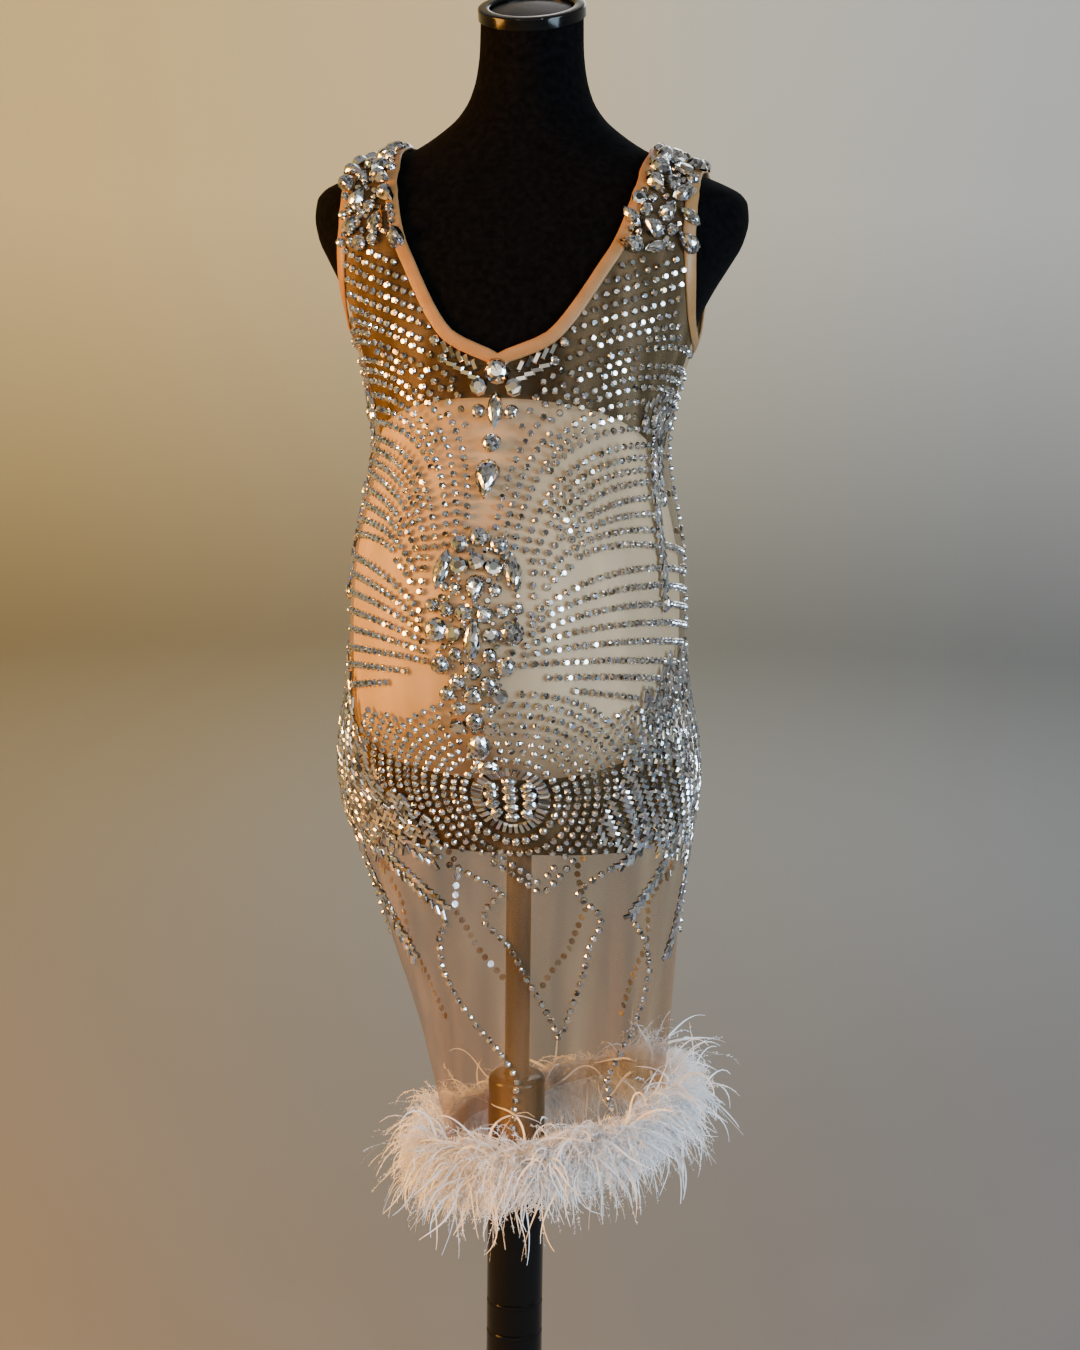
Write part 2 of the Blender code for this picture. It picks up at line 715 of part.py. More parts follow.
def build_torso(look, parent):
    """The form: rounded sections from its underside to the neck, with a socket for the pole."""
    columns = TORSO_SIDES
    heights = [row[0] for row in FORM_SECTIONS]
    bearings = [360 * k / columns for k in range(columns)]
    bm = bmesh.new()
    rings = [[bm.verts.new(form_surface(bearing, z)) for bearing in bearings] for z in heights]
    for vert in rings[0]:
        vert.co.z = TORSO_BOTTOM
    socket = [[bm.verts.new((BORE_RADIUS * math.sin(math.radians(b)),
                             -BORE_RADIUS * math.cos(math.radians(b)), z)) for b in bearings]
              for z in (SOCKET_TOP, TORSO_BOTTOM)]
    rings = socket + rings
    for ring, following in zip(rings, rings[1:]):
        for k in range(columns):
            n = (k + 1) % columns
            bm.faces.new((ring[k], ring[n], following[n], following[k]))
    bm.faces.new(rings[0])
    bm.faces.new(rings[-1])
    return finished_object("torso", bm, look, parent, smooth_angle=50)


def pad_place(ring, angle):
    """Bearing and height of a point of the pad's oval."""
    c, s = math.cos(angle), math.sin(angle)
    rounded = 2 / PAD_ROUNDNESS
    bearing = PAD_REACH * ring * math.copysign(abs(c) ** rounded, c)
    rise = PAD_UP if s > 0 else PAD_DOWN
    return bearing, PAD_MIDDLE + rise * ring * math.copysign(abs(s) ** rounded, s)


def pad_point(ring, angle, is_outer):
    """The pad's inside lies on the form; its outside swells to just under the cloth."""
    bearing, z = pad_place(ring, angle)
    away = outward(torso_surface, bearing, z)
    rim = form_surface(bearing, z) + away * PAD_INSIDE_RIM_GAP
    if not is_outer:
        deeper = PAD_INSIDE_GAP - PAD_INSIDE_RIM_GAP
        return rim + away * deeper * (1 - ring ** PAD_INSIDE_POWER)
    turn = along(SKIRT_CURVES["turn"], z)
    cover = lifted(skin, bearing - turn, z, -PAD_CLEARANCE)
    swell = math.sqrt(max(0.0, 1 - ring ** PAD_EDGE_POWER))
    return (rim + away * PAD_RIM).lerp(cover, swell)


def build_pad(look, parent):
    """A smooth filled pad tied over the front of the form."""
    bm = bmesh.new()
    angles = [2 * math.pi * k / PAD_SIDES for k in range(PAD_SIDES)]
    sheets = []
    for is_outer in (True, False):
        rings = [[bm.verts.new(pad_point(ring, angle, is_outer)) for angle in angles]
                 for ring in PAD_RINGS]
        centre = bm.verts.new(pad_point(0.0, 0.0, is_outer))
        for ring, following in zip(rings, rings[1:]):
            for k in range(PAD_SIDES):
                n = (k + 1) % PAD_SIDES
                bm.faces.new((ring[k], ring[n], following[n], following[k]))
        for k in range(PAD_SIDES):
            bm.faces.new((rings[-1][k], rings[-1][(k + 1) % PAD_SIDES], centre))
        sheets.append(rings[0])
    for k in range(PAD_SIDES):
        n = (k + 1) % PAD_SIDES
        bm.faces.new((sheets[0][k], sheets[0][n], sheets[1][n], sheets[1][k]))
    return finished_object("belly_pad", bm, look, parent, smooth_angle=60)


def turned(name, profile, look, parent, sides=STAND_SIDES, smooth_angle=35):
    """A turned piece about Z from (radius, height) pairs, closed on the axis or on itself."""
    bm = bmesh.new()
    rings = []
    is_ring = profile[0] == profile[-1]
    for radius, z in profile[:-1] if is_ring else profile:
        count = 1 if radius == 0 else sides
        rings.append([bm.verts.new((radius * math.sin(2 * math.pi * k / sides),
                                    -radius * math.cos(2 * math.pi * k / sides), z))
                      for k in range(count)])
    for ring, following in zip(rings, rings[1:] + rings[:is_ring]):
        for k in range(sides):
            n = (k + 1) % sides
            add_face(bm, [ring[k % len(ring)], ring[n % len(ring)],
                          following[n % len(following)], following[k % len(following)]])
    return finished_object(name, bm, look, parent, smooth_angle)


def tube_profile():
    """The lower tube: grooves low down, a rounded shoulder and a blind bore for the pole."""
    foot = BASE_THICKNESS + SEAM_GAP
    profile = [(0, foot), (TUBE_RADIUS, foot)]
    for k in reversed(range(GROOVE_COUNT)):
        z = GROOVE_TOP - k * GROOVE_PITCH
        profile += [(TUBE_RADIUS, z - GROOVE_HALF_HEIGHT), (TUBE_RADIUS - GROOVE_DEPTH, z),
                    (TUBE_RADIUS, z + GROOVE_HALF_HEIGHT)]
    inward, down = TUBE_SHOULDER_MIDDLE
    profile += [(TUBE_RADIUS, TUBE_TOP - TUBE_SHOULDER), (TUBE_RADIUS - inward, TUBE_TOP - down),
                (TUBE_RADIUS - TUBE_SHOULDER, TUBE_TOP), (BORE_RADIUS, TUBE_TOP),
                (BORE_RADIUS, TUBE_FLOOR), (0, TUBE_FLOOR)]
    return profile


def neck_plane(made):
    """Sets a turned piece on the neck's tilted top, just clear of it."""
    lift = Matrix.Translation((0, NECK_MIDDLE, NECK_TOP))
    tilt = Matrix.Rotation(NECK_TILT, 4, "X")
    made.data.transform(lift @ tilt)


def build_neck_end(ring_look, cap_look, parent):
    """A glossy ring on the neck's top with a plain cap sunk in it."""
    inner = CAP_RADIUS + SEAM_GAP / math.cos(math.pi / STAND_SIDES)
    foot, top = SEAM_GAP, SEAM_GAP + RING_HEIGHT
    ring_profile = [(inner, foot), (RING_RADIUS, foot), (RING_RADIUS, top - RING_LIP),
                    (RING_RADIUS - RING_LIP, top), (inner + RING_LIP, top),
                    (inner, top - RING_LIP), (inner, foot)]
    neck_plane(turned("neck_ring", ring_profile, ring_look, parent, smooth_angle=40))
    cap_profile = [(0, foot), (CAP_DOME[0][0], foot), *CAP_DOME]
    neck_plane(turned("neck_cap", cap_profile, cap_look, parent))


def trim_lines(front, back):
    """Columns round the hem: pairs of outer points at the hem and one row up."""
    order = [(front, c, 1) for c in range(front.columns)]
    order += [(back, c, 1) for c in range(back.columns, 0, -1)]
    order += [(back, c, -1) for c in range(0, back.columns)]
    order += [(front, c, -1) for c in range(front.columns, 0, -1)]
    pairs = []
    for panel, column, side in order:
        pairs.append([(panel.point(panel.key(row, column, side), WALL),
                       outward_of(panel, panel.key(row, column, side))) for row in (0, 1)])
    return pairs


def outward_of(panel, key):
    bearing, z = panel.places[key]
    return outward(skin, bearing, hem_height(bearing, z))


def trim_point(pair, rise, distance):
    """A point on the cloth's own edge between two rows, moved out."""
    (low, low_out), (high, high_out) = pair
    share = rise / (high - low).length
    place = low.lerp(high, share)
    return place + low_out.lerp(high_out, share).normalized() * distance


def uneven(index):
    """A wave from -1 to 1 that does not repeat round the hem."""
    return (math.sin(index * 2.4) + math.sin(index * 0.77 + 1.3)) / 2


def lock_path(angle, row, index):
    """Mid point and tip of one lock of barbs: outward and upward offsets."""
    kind = HANGING_LOCK if row == 0 else LEVEL_LOCK if index % 3 == 0 else RISING_LOCK
    lock = dict(zip(LOCK_COLUMNS, kind))
    side_pull = (1 + math.sin(math.radians(angle))) / 2
    reach = lock["out"] + lock["wave_out"] * uneven(index) + lock["side_out"] * side_pull
    rise = lock["up"] + lock["wave_up"] * uneven(index)
    return (lock["mid_out"], lock["mid_up"]), (reach, rise)


def build_trim(front, back, look, parent):
    """A narrow strip round the hem with tapered locks of feather growing out of it."""
    pairs = trim_lines(front, back)
    stations = []
    for index, pair in enumerate(pairs):
        following = pairs[(index + 1) % len(pairs)]
        for k in range(LOCKS_PER_COLUMN):
            share = k / LOCKS_PER_COLUMN
            stations.append([(a[0].lerp(b[0], share), a[1].lerp(b[1], share).normalized())
                             for a, b in zip(pair, following)])
    middle = (TRIM_BOTTOM + TRIM_TOP) / 2
    outline = ((TRIM_BOTTOM, TRIM_GAP), (TRIM_BOTTOM, TRIM_GAP + TRIM_THICKNESS),
               (middle, TRIM_GAP + TRIM_THICKNESS), (TRIM_TOP, TRIM_GAP + TRIM_THICKNESS),
               (TRIM_TOP, TRIM_GAP))
    bm = bmesh.new()
    rings = [[bm.verts.new(trim_point(pair, rise, out)) for rise, out in outline]
             for pair in stations]
    roots = []
    for index, (ring, following) in enumerate(zip(rings, rings[1:] + rings[:1])):
        for k in range(5):
            n = (k + 1) % 5
            face = bm.faces.new((ring[k], ring[n], following[n], following[k]))
            if k in (1, 2):
                roots.append((face, index, k - 1))
    bmesh.ops.recalc_face_normals(bm, faces=bm.faces)
    bm.normal_update()
    for face, index, row in roots:
        grow_lock(bm, face, index, row)
    return finished_object("feather_trim", bm, look, parent, smooth_angle=60)


def grow_lock(bm, face, index, row):
    """Draws one face of the strip out into a bent, tapered lock."""
    centre = face.calc_center_median()
    outwards = Vector((face.normal.x, face.normal.y, 0)).normalized()
    angle = math.degrees(math.atan2(outwards.x, -outwards.y))
    (mid_out, mid_up), (tip_out, tip_up) = lock_path(angle, row, index)
    swing = LOCK_SIDE_SWING * math.sin(index * 1.1 + row)
    sideways = Vector((0, 0, 1)).cross(outwards) * swing
    mid = centre + outwards * mid_out + Vector((0, 0, mid_up))
    tip = centre + outwards * tip_out + Vector((0, 0, tip_up)) + sideways
    heading = (tip - centre).normalized()
    twist = outwards.rotation_difference(heading)
    corners = list(face.verts)
    bmesh.ops.delete(bm, geom=[face], context="FACES_ONLY")
    swell = [bm.verts.new(mid + twist @ ((corner.co - centre) * LOCK_SWELL))
             for corner in corners]
    point = bm.verts.new(tip)
    for k in range(4):
        n = (k + 1) % 4
        bm.faces.new((corners[k], corners[n], swell[n], swell[k]))
        bm.faces.new((swell[k], swell[n], point))


def anchor(name, parent=None):
    """An empty on the pole's axis that a moving group hangs from."""
    made = bpy.data.objects.new(name, None)
    bpy.context.scene.collection.objects.link(made)
    made.parent = parent
    return made


def main():
    for old in list(bpy.data.objects):
        bpy.data.objects.remove(old, do_unlink=True)
    mesh_look = (0.62, 0.47, 0.34)
    nude_binding = (0.74, 0.52, 0.34)
    stand_group = anchor("stand")
    pole_group = anchor("pole_slide", stand_group)
    form_group = anchor("form_turn", pole_group)

    front, back = Panel(True), Panel(False)
    front_stones = middle_stones() + strap_stones(front, front.crest - FRONT_STRAP_STONE_ROWS)
    back_stones = strap_stones(back, back.crest - BACK_STRAP_STONE_ROWS)
    front.build("dress_front", material("front_mesh", mesh_look, 0.6), form_group, front_stones)
    back.build("dress_back", material("back_mesh", mesh_look, 0.6), form_group, back_stones)
    binding("neck_binding", neck_loop(front, back),
            material("neck_satin", nude_binding, 0.45), form_group)
    for side, label in ((-1, "left"), (1, "right")):
        binding("armhole_binding_" + label, armhole_loop(front, back, side),
                material("armhole_satin_" + label, nude_binding, 0.45), form_group)
    build_trim(front, back, material("feather", (0.93, 0.92, 0.94), 0.8), form_group)

    build_torso(material("flocked_black", (0.010, 0.010, 0.011), 0.95), form_group)
    build_pad(material("pad_nude", (0.78, 0.56, 0.43), 0.55), form_group)
    build_neck_end(material("ring_black", (0.03, 0.03, 0.032), 0.2),
                   material("cap_black", (0.015, 0.015, 0.016), 0.4), form_group)
    turned("pole", [(0, POLE_BOTTOM), (POLE_RADIUS, POLE_BOTTOM), (POLE_RADIUS, POLE_TOP),
                    (0, POLE_TOP)], material("pole_black", (0.02, 0.02, 0.02), 0.35), pole_group)
    turned("lower_tube", tube_profile(),
           material("tube_gloss_black", (0.012, 0.012, 0.013), 0.15), stand_group)
    turned("base", [(0, 0), *BASE_SECTION, (0, BASE_THICKNESS)],
           material("base_black", (0.015, 0.015, 0.016), 0.35), stand_group, sides=BASE_SIDES)


main()
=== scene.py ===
"""The looks of a sheer embellished dress on its limbless form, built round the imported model.

Metres, +Z up, the front faces -Y. A bearing is an angle about the pole's axis: 0 is the front,
90 the side at +X, 180 the back. What is sewn or glued on the cloth is placed by a bearing of
the cloth and a height, so it follows the skirt's lean and folds.
"""
import math

import bpy
import numpy as np
from mathutils import Matrix, Vector


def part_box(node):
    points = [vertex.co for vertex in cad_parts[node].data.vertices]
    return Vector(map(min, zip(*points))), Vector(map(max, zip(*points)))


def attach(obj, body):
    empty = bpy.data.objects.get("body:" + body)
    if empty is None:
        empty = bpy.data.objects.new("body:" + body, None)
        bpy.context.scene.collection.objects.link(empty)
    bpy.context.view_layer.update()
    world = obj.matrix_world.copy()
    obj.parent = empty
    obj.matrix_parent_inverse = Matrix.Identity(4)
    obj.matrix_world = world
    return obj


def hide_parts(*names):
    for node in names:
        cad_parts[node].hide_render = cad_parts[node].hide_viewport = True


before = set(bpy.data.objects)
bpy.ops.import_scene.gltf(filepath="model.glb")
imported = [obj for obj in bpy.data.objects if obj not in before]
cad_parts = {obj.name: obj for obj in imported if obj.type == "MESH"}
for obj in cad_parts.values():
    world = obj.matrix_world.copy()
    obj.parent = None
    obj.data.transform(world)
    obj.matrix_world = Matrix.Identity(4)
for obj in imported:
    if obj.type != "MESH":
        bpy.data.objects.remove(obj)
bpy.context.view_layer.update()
random = np.random.default_rng(11)

# Cloth
CLOTH_MIDDLE = 0.0008
HEM = 0.442
HEM_TILT = 0.030
HEM_TILT_FADES_AT = 0.640
V_TIP = 1.160
ARMHOLE_BOTTOM = 1.168
STRAP_INSIDE = 0.106
STRAP_OUTSIDE = 0.152
BINDING_WIDTH = 0.0105
CLOTH_CLEARANCE = 0.0012
SHOULDER_CLEARANCE = 0.0027
SHOULDER_CLEARANCE_FROM = 1.120
SHOULDER_CLEARANCE_FULL = 1.160
CREST_RANGE = (1.280, 1.372)

# The cloth's inner surface, section by section
SKIN_COLUMNS = ("z", "half", "front", "back", "middle", "power")
SKIN = (
    (0.41, 0.093, 0.093, 0.097, 0, 2.05), (0.44, 0.0945, 0.094, 0.098, 0, 2.05),
    (0.482, 0.102, 0.096, 0.099, 0, 2.05), (0.532, 0.1115, 0.098, 0.1, 0, 2.05),
    (0.58, 0.121, 0.101, 0.101, 0, 2.1), (0.628, 0.131, 0.105, 0.102, 0, 2.15),
    (0.676, 0.1405, 0.11, 0.103, 0, 2.2), (0.718, 0.15, 0.117, 0.105, 0, 2.2),
    (0.753, 0.158, 0.127, 0.107, 0, 2.25), (0.785, 0.1605, 0.144, 0.108, 0, 2.25),
    (0.823, 0.157, 0.173, 0.108, 0, 2.2), (0.857, 0.15, 0.198, 0.106, 0, 2.15),
    (0.89, 0.146, 0.211, 0.098, 0, 2.1), (0.93, 0.1455, 0.215, 0.086, 0, 2.05),
    (0.978, 0.143, 0.205, 0.077, 0, 2.05), (1.018, 0.137, 0.187, 0.075, 0, 2.05),
    (1.045, 0.131, 0.171, 0.076, 0, 2.1), (1.079, 0.1275, 0.149, 0.081, 0, 2.15),
    (1.11, 0.1325, 0.131, 0.087, 0, 2.2), (1.145, 0.141, 0.1205, 0.094, 0.002, 2.25),
    (1.168, 0.149, 0.1185, 0.098, 0.005, 2.3), (1.19, 0.156, 0.113, 0.1, 0.008, 2.3),
    (1.21, 0.166, 0.105, 0.102, 0.011, 2.3), (1.23, 0.178, 0.096, 0.104, 0.015, 2.3),
    (1.25, 0.189, 0.086, 0.104, 0.018, 2.3), (1.27, 0.1935, 0.076, 0.102, 0.02, 2.3),
    (1.285, 0.192, 0.068, 0.099, 0.021, 2.3), (1.295, 0.185, 0.062, 0.096, 0.022, 2.25),
    (1.303, 0.17, 0.056, 0.093, 0.022, 2.25), (1.311, 0.15, 0.051, 0.09, 0.022, 2.2),
    (1.323, 0.12, 0.043, 0.085, 0.022, 2.15), (1.332, 0.1, 0.038, 0.081, 0.022, 2.1),
    (1.345, 0.08, 0.034, 0.076, 0.021, 2.05), (1.357, 0.066, 0.031, 0.073, 0.021, 2),
    (1.372, 0.056, 0.029, 0.07, 0.02, 2), (1.392, 0.05, 0.028, 0.068, 0.02, 2),
    (1.414, 0.0475, 0.0275, 0.0675, 0.02, 2), (1.44, 0.047, 0.027, 0.067, 0.02, 2),
)

# The form below the chest; above it the form has the cloth's own sections
TORSO_LOW = (
    (0.722, 0.127, 0.076, 0.079, 0, 2.2), (0.73, 0.142, 0.088, 0.091, 0, 2.2),
    (0.742, 0.152, 0.096, 0.1, 0, 2.25), (0.758, 0.1565, 0.101, 0.106, 0, 2.25),
    (0.785, 0.159, 0.104, 0.107, 0, 2.25), (0.823, 0.154, 0.106, 0.108, 0, 2.2),
    (0.857, 0.144, 0.107, 0.106, 0, 2.15), (0.89, 0.137, 0.106, 0.098, 0, 2.1),
    (0.93, 0.131, 0.104, 0.086, 0, 2.05), (0.978, 0.127, 0.1, 0.077, 0, 2.05),
    (1.018, 0.123, 0.098, 0.075, 0, 2.05), (1.045, 0.123, 0.099, 0.076, 0, 2.1),
    (1.079, 0.1265, 0.1035, 0.081, 0, 2.15), (1.11, 0.1325, 0.1115, 0.087, 0, 2.2),
)
CHEST = 1.145

SKIRT_COLUMNS = ("z", "lean", "turn")
SKIRT = (
    (0.41, 0.032, 17), (0.44, 0.031, 17), (0.532, 0.025, 17), (0.58, 0.02, 16),
    (0.628, 0.014, 15), (0.676, 0.009, 13), (0.718, 0.004, 11), (0.753, 0, 8), (0.785, 0, 4),
    (0.823, 0, 1.5), (0.857, 0, 0),
)

# Soft folds of the skirt. Columns: bearing, half width in degrees, depth at the hem, top
FOLD_GROWTH = 1.2
FOLDS = (
    (-70, 13, 0.0065, 0.7), (-44, 10, -0.007, 0.66), (-20, 9, 0.0075, 0.64),
    (2, 8, -0.0065, 0.72), (24, 9, 0.0095, 0.7), (47, 9, -0.008, 0.64), (72, 11, 0.007, 0.7),
    (108, 14, -0.007, 0.66), (142, 13, 0.008, 0.68), (176, 13, -0.0065, 0.64),
    (-140, 14, 0.0075, 0.68), (-104, 13, -0.006, 0.66),
)

# Fine creases. Columns: bearing and height at the top, at the bottom, half width, depth
CREASES = (
    (-62, 0.725, -48, 0.56, 3, 0.0011), (-36, 0.712, -30, 0.52, 2.6, -0.0012),
    (-12, 0.7, -9, 0.47, 2.4, 0.001), (13, 0.715, 11, 0.5, 2.8, -0.0013),
    (34, 0.7, 33, 0.465, 2.4, 0.0012), (58, 0.69, 60, 0.49, 3, -0.0011),
    (88, 0.7, 82, 0.52, 3.4, 0.0012), (126, 0.705, 118, 0.48, 3.2, -0.0012),
    (160, 0.69, 165, 0.5, 3.2, 0.0013), (-158, 0.71, -150, 0.49, 3.2, -0.0011),
    (-122, 0.7, -128, 0.5, 3.4, 0.0012), (-90, 0.69, -84, 0.52, 3, -0.001),
)

# The cloth's edges. Columns: half width, height
ARMHOLE = (
    (0.1505, 1.18), (0.151, 1.195), (0.152, 1.212), (0.1525, 1.23), (0.1525, 1.248),
    (0.152, 1.265), (0.152, 1.28), (0.152, 1.293), (0.152, 1.303), (0.152, 1.3085),
)
FRONT_NECK = (
    (0.04, 1.178), (0.056, 1.197), (0.068, 1.216), (0.079, 1.235), (0.089, 1.253),
    (0.0955, 1.271), (0.1, 1.288), (0.1035, 1.304), (0.1055, 1.318), (0.106, 1.328),
)
BACK_MIDDLE_ROWS = (1.180, 1.205, 1.228, 1.2485, 1.260)
BACK_NECK = (
    (0.048, 1.276), (0.076, 1.29), (0.093, 1.304), (0.102, 1.318), (0.105, 1.3275),
)

# Form and stand
NECK_TOP = 1.440
NECK_TILT = math.radians(20)
NECK_TILT_FROM = 1.365
NECK_MIDDLE = 0.020
TORSO_BOTTOM = 0.722
POLE_RADIUS = 0.0115
TUBE_RADIUS = 0.0265
TUBE_TOP = 0.488
GROOVE_TOP = 0.2625
GROOVE_PITCH = 0.031
GROOVE_COUNT = 8
GROOVE = ((0, -0.0024), (0.0006, -0.0019), (0.0018, -0.0004), (0.0018, 0.0004),
          (0.0006, 0.0019), (0, 0.0024))
TUBE_SHOULDER = 0.007
TUBE_FLOOR = 0.034
BORE_GAP = 0.0004
SEAM = 0.0003
BASE_TOP = ((0.110, 0.0148), (0.060, 0.0172))
BASE_COLLAR = (0.040, 0.030)
BASE_RADIUS = 0.170
BASE_THICKNESS = 0.020
RING_RADIUS = 0.0465
RING_HEIGHT = 0.010
CAP_RADIUS = 0.036

# Belly pad
PAD_MIDDLE = 0.958
PAD_UP = 0.166
PAD_DOWN = 0.160
PAD_REACH = 104
PAD_ROUNDNESS = 1.9
PAD_CLEARANCE = 0.0013
PAD_FLOOR = 0.0014
PAD_INSIDE_CROWN = 0.0046
PAD_RIM = 0.0015

# Soft pulls in the jersey near the pad's upper rim. Columns: bearing, height, slope, depth
PAD_PULL_WIDTH = 17
PAD_PULL_HEIGHT = 0.0042
PAD_PULLS = (
    (40, 1.085, -0.0005, 0.0016), (30, 1.068, -0.0003, 0.0012), (52, 1.074, -0.0007, 0.0014),
    (-34, 1.088, 0.0004, 0.0010), (8, 1.092, -0.0001, 0.0009),
)

# Stones, in metres
SMALL_STONE = 0.0067
STONE_PITCH = 0.0089
BAGUETTE = (0.0096, 0.0041, 0.0026)


class Curve:
    """A smooth curve through points that never overshoots between them."""

    def __init__(self, places, values):
        self.places = np.array(places, float)
        self.values = np.array(values, float)
        steps = np.diff(self.values) / np.diff(self.places)
        before, after = steps[:-1], steps[1:]
        turning = before * after <= 0
        total = np.where(turning, 1.0, before + after)
        inner = np.where(turning, 0.0, 2 * before * after / total)
        self.slopes = np.concatenate(([steps[0]], inner, [steps[-1]]))

    def __call__(self, x):
        x = np.clip(x, self.places[0], self.places[-1])
        i = np.clip(np.searchsorted(self.places, x, side="right") - 1, 0, len(self.places) - 2)
        span = self.places[i + 1] - self.places[i]
        t = (x - self.places[i]) / span
        low, high = self.values[i], self.values[i + 1]
        start, end = self.slopes[i] * span, self.slopes[i + 1] * span
        return ((2 * t**3 - 3 * t**2 + 1) * low + (t**3 - 2 * t**2 + t) * start
                + (3 * t**2 - 2 * t**3) * high + (t**3 - t**2) * end)


def curves_of(table, columns):
    heights = [row[0] for row in table]
    return {name: Curve(heights, [row[i + 1] for row in table])
            for i, name in enumerate(columns[1:])}


SKIN_CURVES = curves_of(SKIN, SKIN_COLUMNS)
TORSO_TABLE = TORSO_LOW + tuple(row for row in SKIN if row[0] >= CHEST)
TORSO_CURVES = curves_of(TORSO_TABLE, SKIN_COLUMNS)
SKIRT_CURVES = curves_of(SKIRT, SKIRT_COLUMNS)


def section(curves, bearing, z):
    """Points of the rounded sections at the heights z."""
    half, front, back, middle, power = (curves[name](z) for name in SKIN_COLUMNS[1:])
    angle = np.radians(bearing)
    across, away = np.sin(angle), np.cos(angle)
    x = half * np.sign(across) * np.abs(across) ** (2 / power)
    depth = np.abs(away) ** (2 / power)
    y = np.where(away > 0, middle - (front + middle) * depth, middle + (back - middle) * depth)
    return np.stack([x, y, z + 0 * x], axis=-1)


def apart(bearing, centre):
    """Degrees between two bearings, from -180 to 180."""
    return (bearing - centre + 180) % 360 - 180


def mix(a, b, share):
    return a + (b - a) * share


def fold_height(bearing, z):
    total = 0 * bearing
    for centre, spread, depth, top in FOLDS:
        grown = np.clip((top - z) / (top - HEM), 0, None) ** FOLD_GROWTH
        total = total + depth * grown * np.exp(-(apart(bearing, centre) / spread) ** 2)
    return total


def crease_height(bearing, z):
    """Fine creases of the hanging mesh, each a soft ridge or trough that fades at its ends."""
    total = 0 * bearing
    for top_bearing, top, low_bearing, low, spread, depth in CREASES:
        share = np.clip((top - z) / (top - low), 0, 1)
        centre = mix(top_bearing, low_bearing, share)
        strength = np.sin(np.pi * share) ** 0.8
        total = total + depth * strength * np.exp(-(apart(bearing, centre) / spread) ** 2)
    return total


def skin(bearing, z):
    """The cloth's inner surface at bearings of the cloth."""
    bearing, z = np.broadcast_arrays(np.asarray(bearing, float), np.asarray(z, float))
    points = section(SKIN_CURVES, bearing + SKIRT_CURVES["turn"](z), z)
    flat = points[..., :2] / np.linalg.norm(points[..., :2], axis=-1, keepdims=True)
    points[..., :2] += flat * fold_height(bearing, z)[..., None]
    points[..., 0] += SKIRT_CURVES["lean"](z)
    return points


def torso_surface(bearing, z):
    bearing, z = np.broadcast_arrays(np.asarray(bearing, float), np.asarray(z, float))
    return section(TORSO_CURVES, bearing, z)


def unit(vectors):
    return vectors / np.maximum(np.linalg.norm(vectors, axis=-1, keepdims=True), 1e-12)


def outward(surface, bearing, z):
    """Unit normals of a surface of bearing and height, pointing out."""
    step, rise = 0.4, 0.0008
    sideways = surface(bearing + step, z) - surface(bearing - step, z)
    up = surface(bearing, z + rise) - surface(bearing, z - rise)
    return unit(np.cross(sideways, up))


def on_cloth(bearing, z, height=CLOTH_MIDDLE):
    """Points at a height above the cloth's inner surface, with the fine creases."""
    bearing, z = np.broadcast_arrays(np.asarray(bearing, float), np.asarray(z, float))
    lift = height + crease_height(bearing, z)
    return skin(bearing, z) + outward(skin, bearing, z) * np.asarray(lift)[..., None]


def frames(bearing, z):
    """Unit vectors at points of the cloth: to greater bearings, up and out."""
    out = outward(skin, bearing, z)
    across = unit(skin(bearing + 0.4, z) - skin(bearing - 0.4, z))
    return across, np.cross(out, across), out


def walk(bearing, z, right, up, steps=8):
    """The bearing and height reached by going some metres right and up along the cloth."""
    bearing, z = np.asarray(bearing, float), np.asarray(z, float)
    for _ in range(steps):
        across, upward, _ = frames(bearing, z)
        degree = np.linalg.norm(skin(bearing + 0.5, z) - skin(bearing - 0.5, z), axis=-1)
        rise = (skin(bearing, z + 0.0005) - skin(bearing, z - 0.0005)) / 0.001
        slant = (rise * across).sum(-1)
        lift = (rise * upward).sum(-1)
        dz = up / steps / lift
        bearing = bearing + (right / steps - dz * slant) / degree
        z = z + dz
    return bearing, z


def half_width(z):
    return SKIN_CURVES["half"](z)


def bearing_at(x, z):
    """The bearing, from 0 to 90, where the section at z is x wide."""
    share = np.minimum(1.0, x / half_width(z))
    return np.degrees(np.arcsin(share ** (SKIN_CURVES["power"](z) / 2)))


def crest_height(x):
    """The height of the shoulder's crest at half width x."""
    low, high = CREST_RANGE
    for _ in range(40):
        middle = (low + high) / 2
        if half_width(middle) > x:
            low = middle
        else:
            high = middle
    return (low + high) / 2


def hem_height(bearing, z):
    """A row's height with the hem's tilt, which fades out up the skirt."""
    share = np.clip((HEM_TILT_FADES_AT - z) / (HEM_TILT_FADES_AT - HEM), 0, 1)
    angle = np.radians(bearing + SKIRT_CURVES["turn"](z))
    return z + HEM_TILT * share * np.sin(angle)


# Materials

def set_sockets(node, sockets):
    """Sets a node's values, each given by its socket's words."""
    for words, value in sockets.items():
        node.inputs[words.replace("_", " ")].default_value = value


def add_node(material, kind, **sockets):
    made = material.node_tree.nodes.new("ShaderNode" + kind)
    set_sockets(made, sockets)
    return made


def shader_of(material):
    return material.node_tree.nodes["Principled BSDF"]


def principled(name, colour, roughness, **sockets):
    made = bpy.data.materials.new(name)
    made.use_nodes = True
    set_sockets(shader_of(made), {"Base_Color": (*colour, 1.0), "Roughness": roughness, **sockets})
    return made


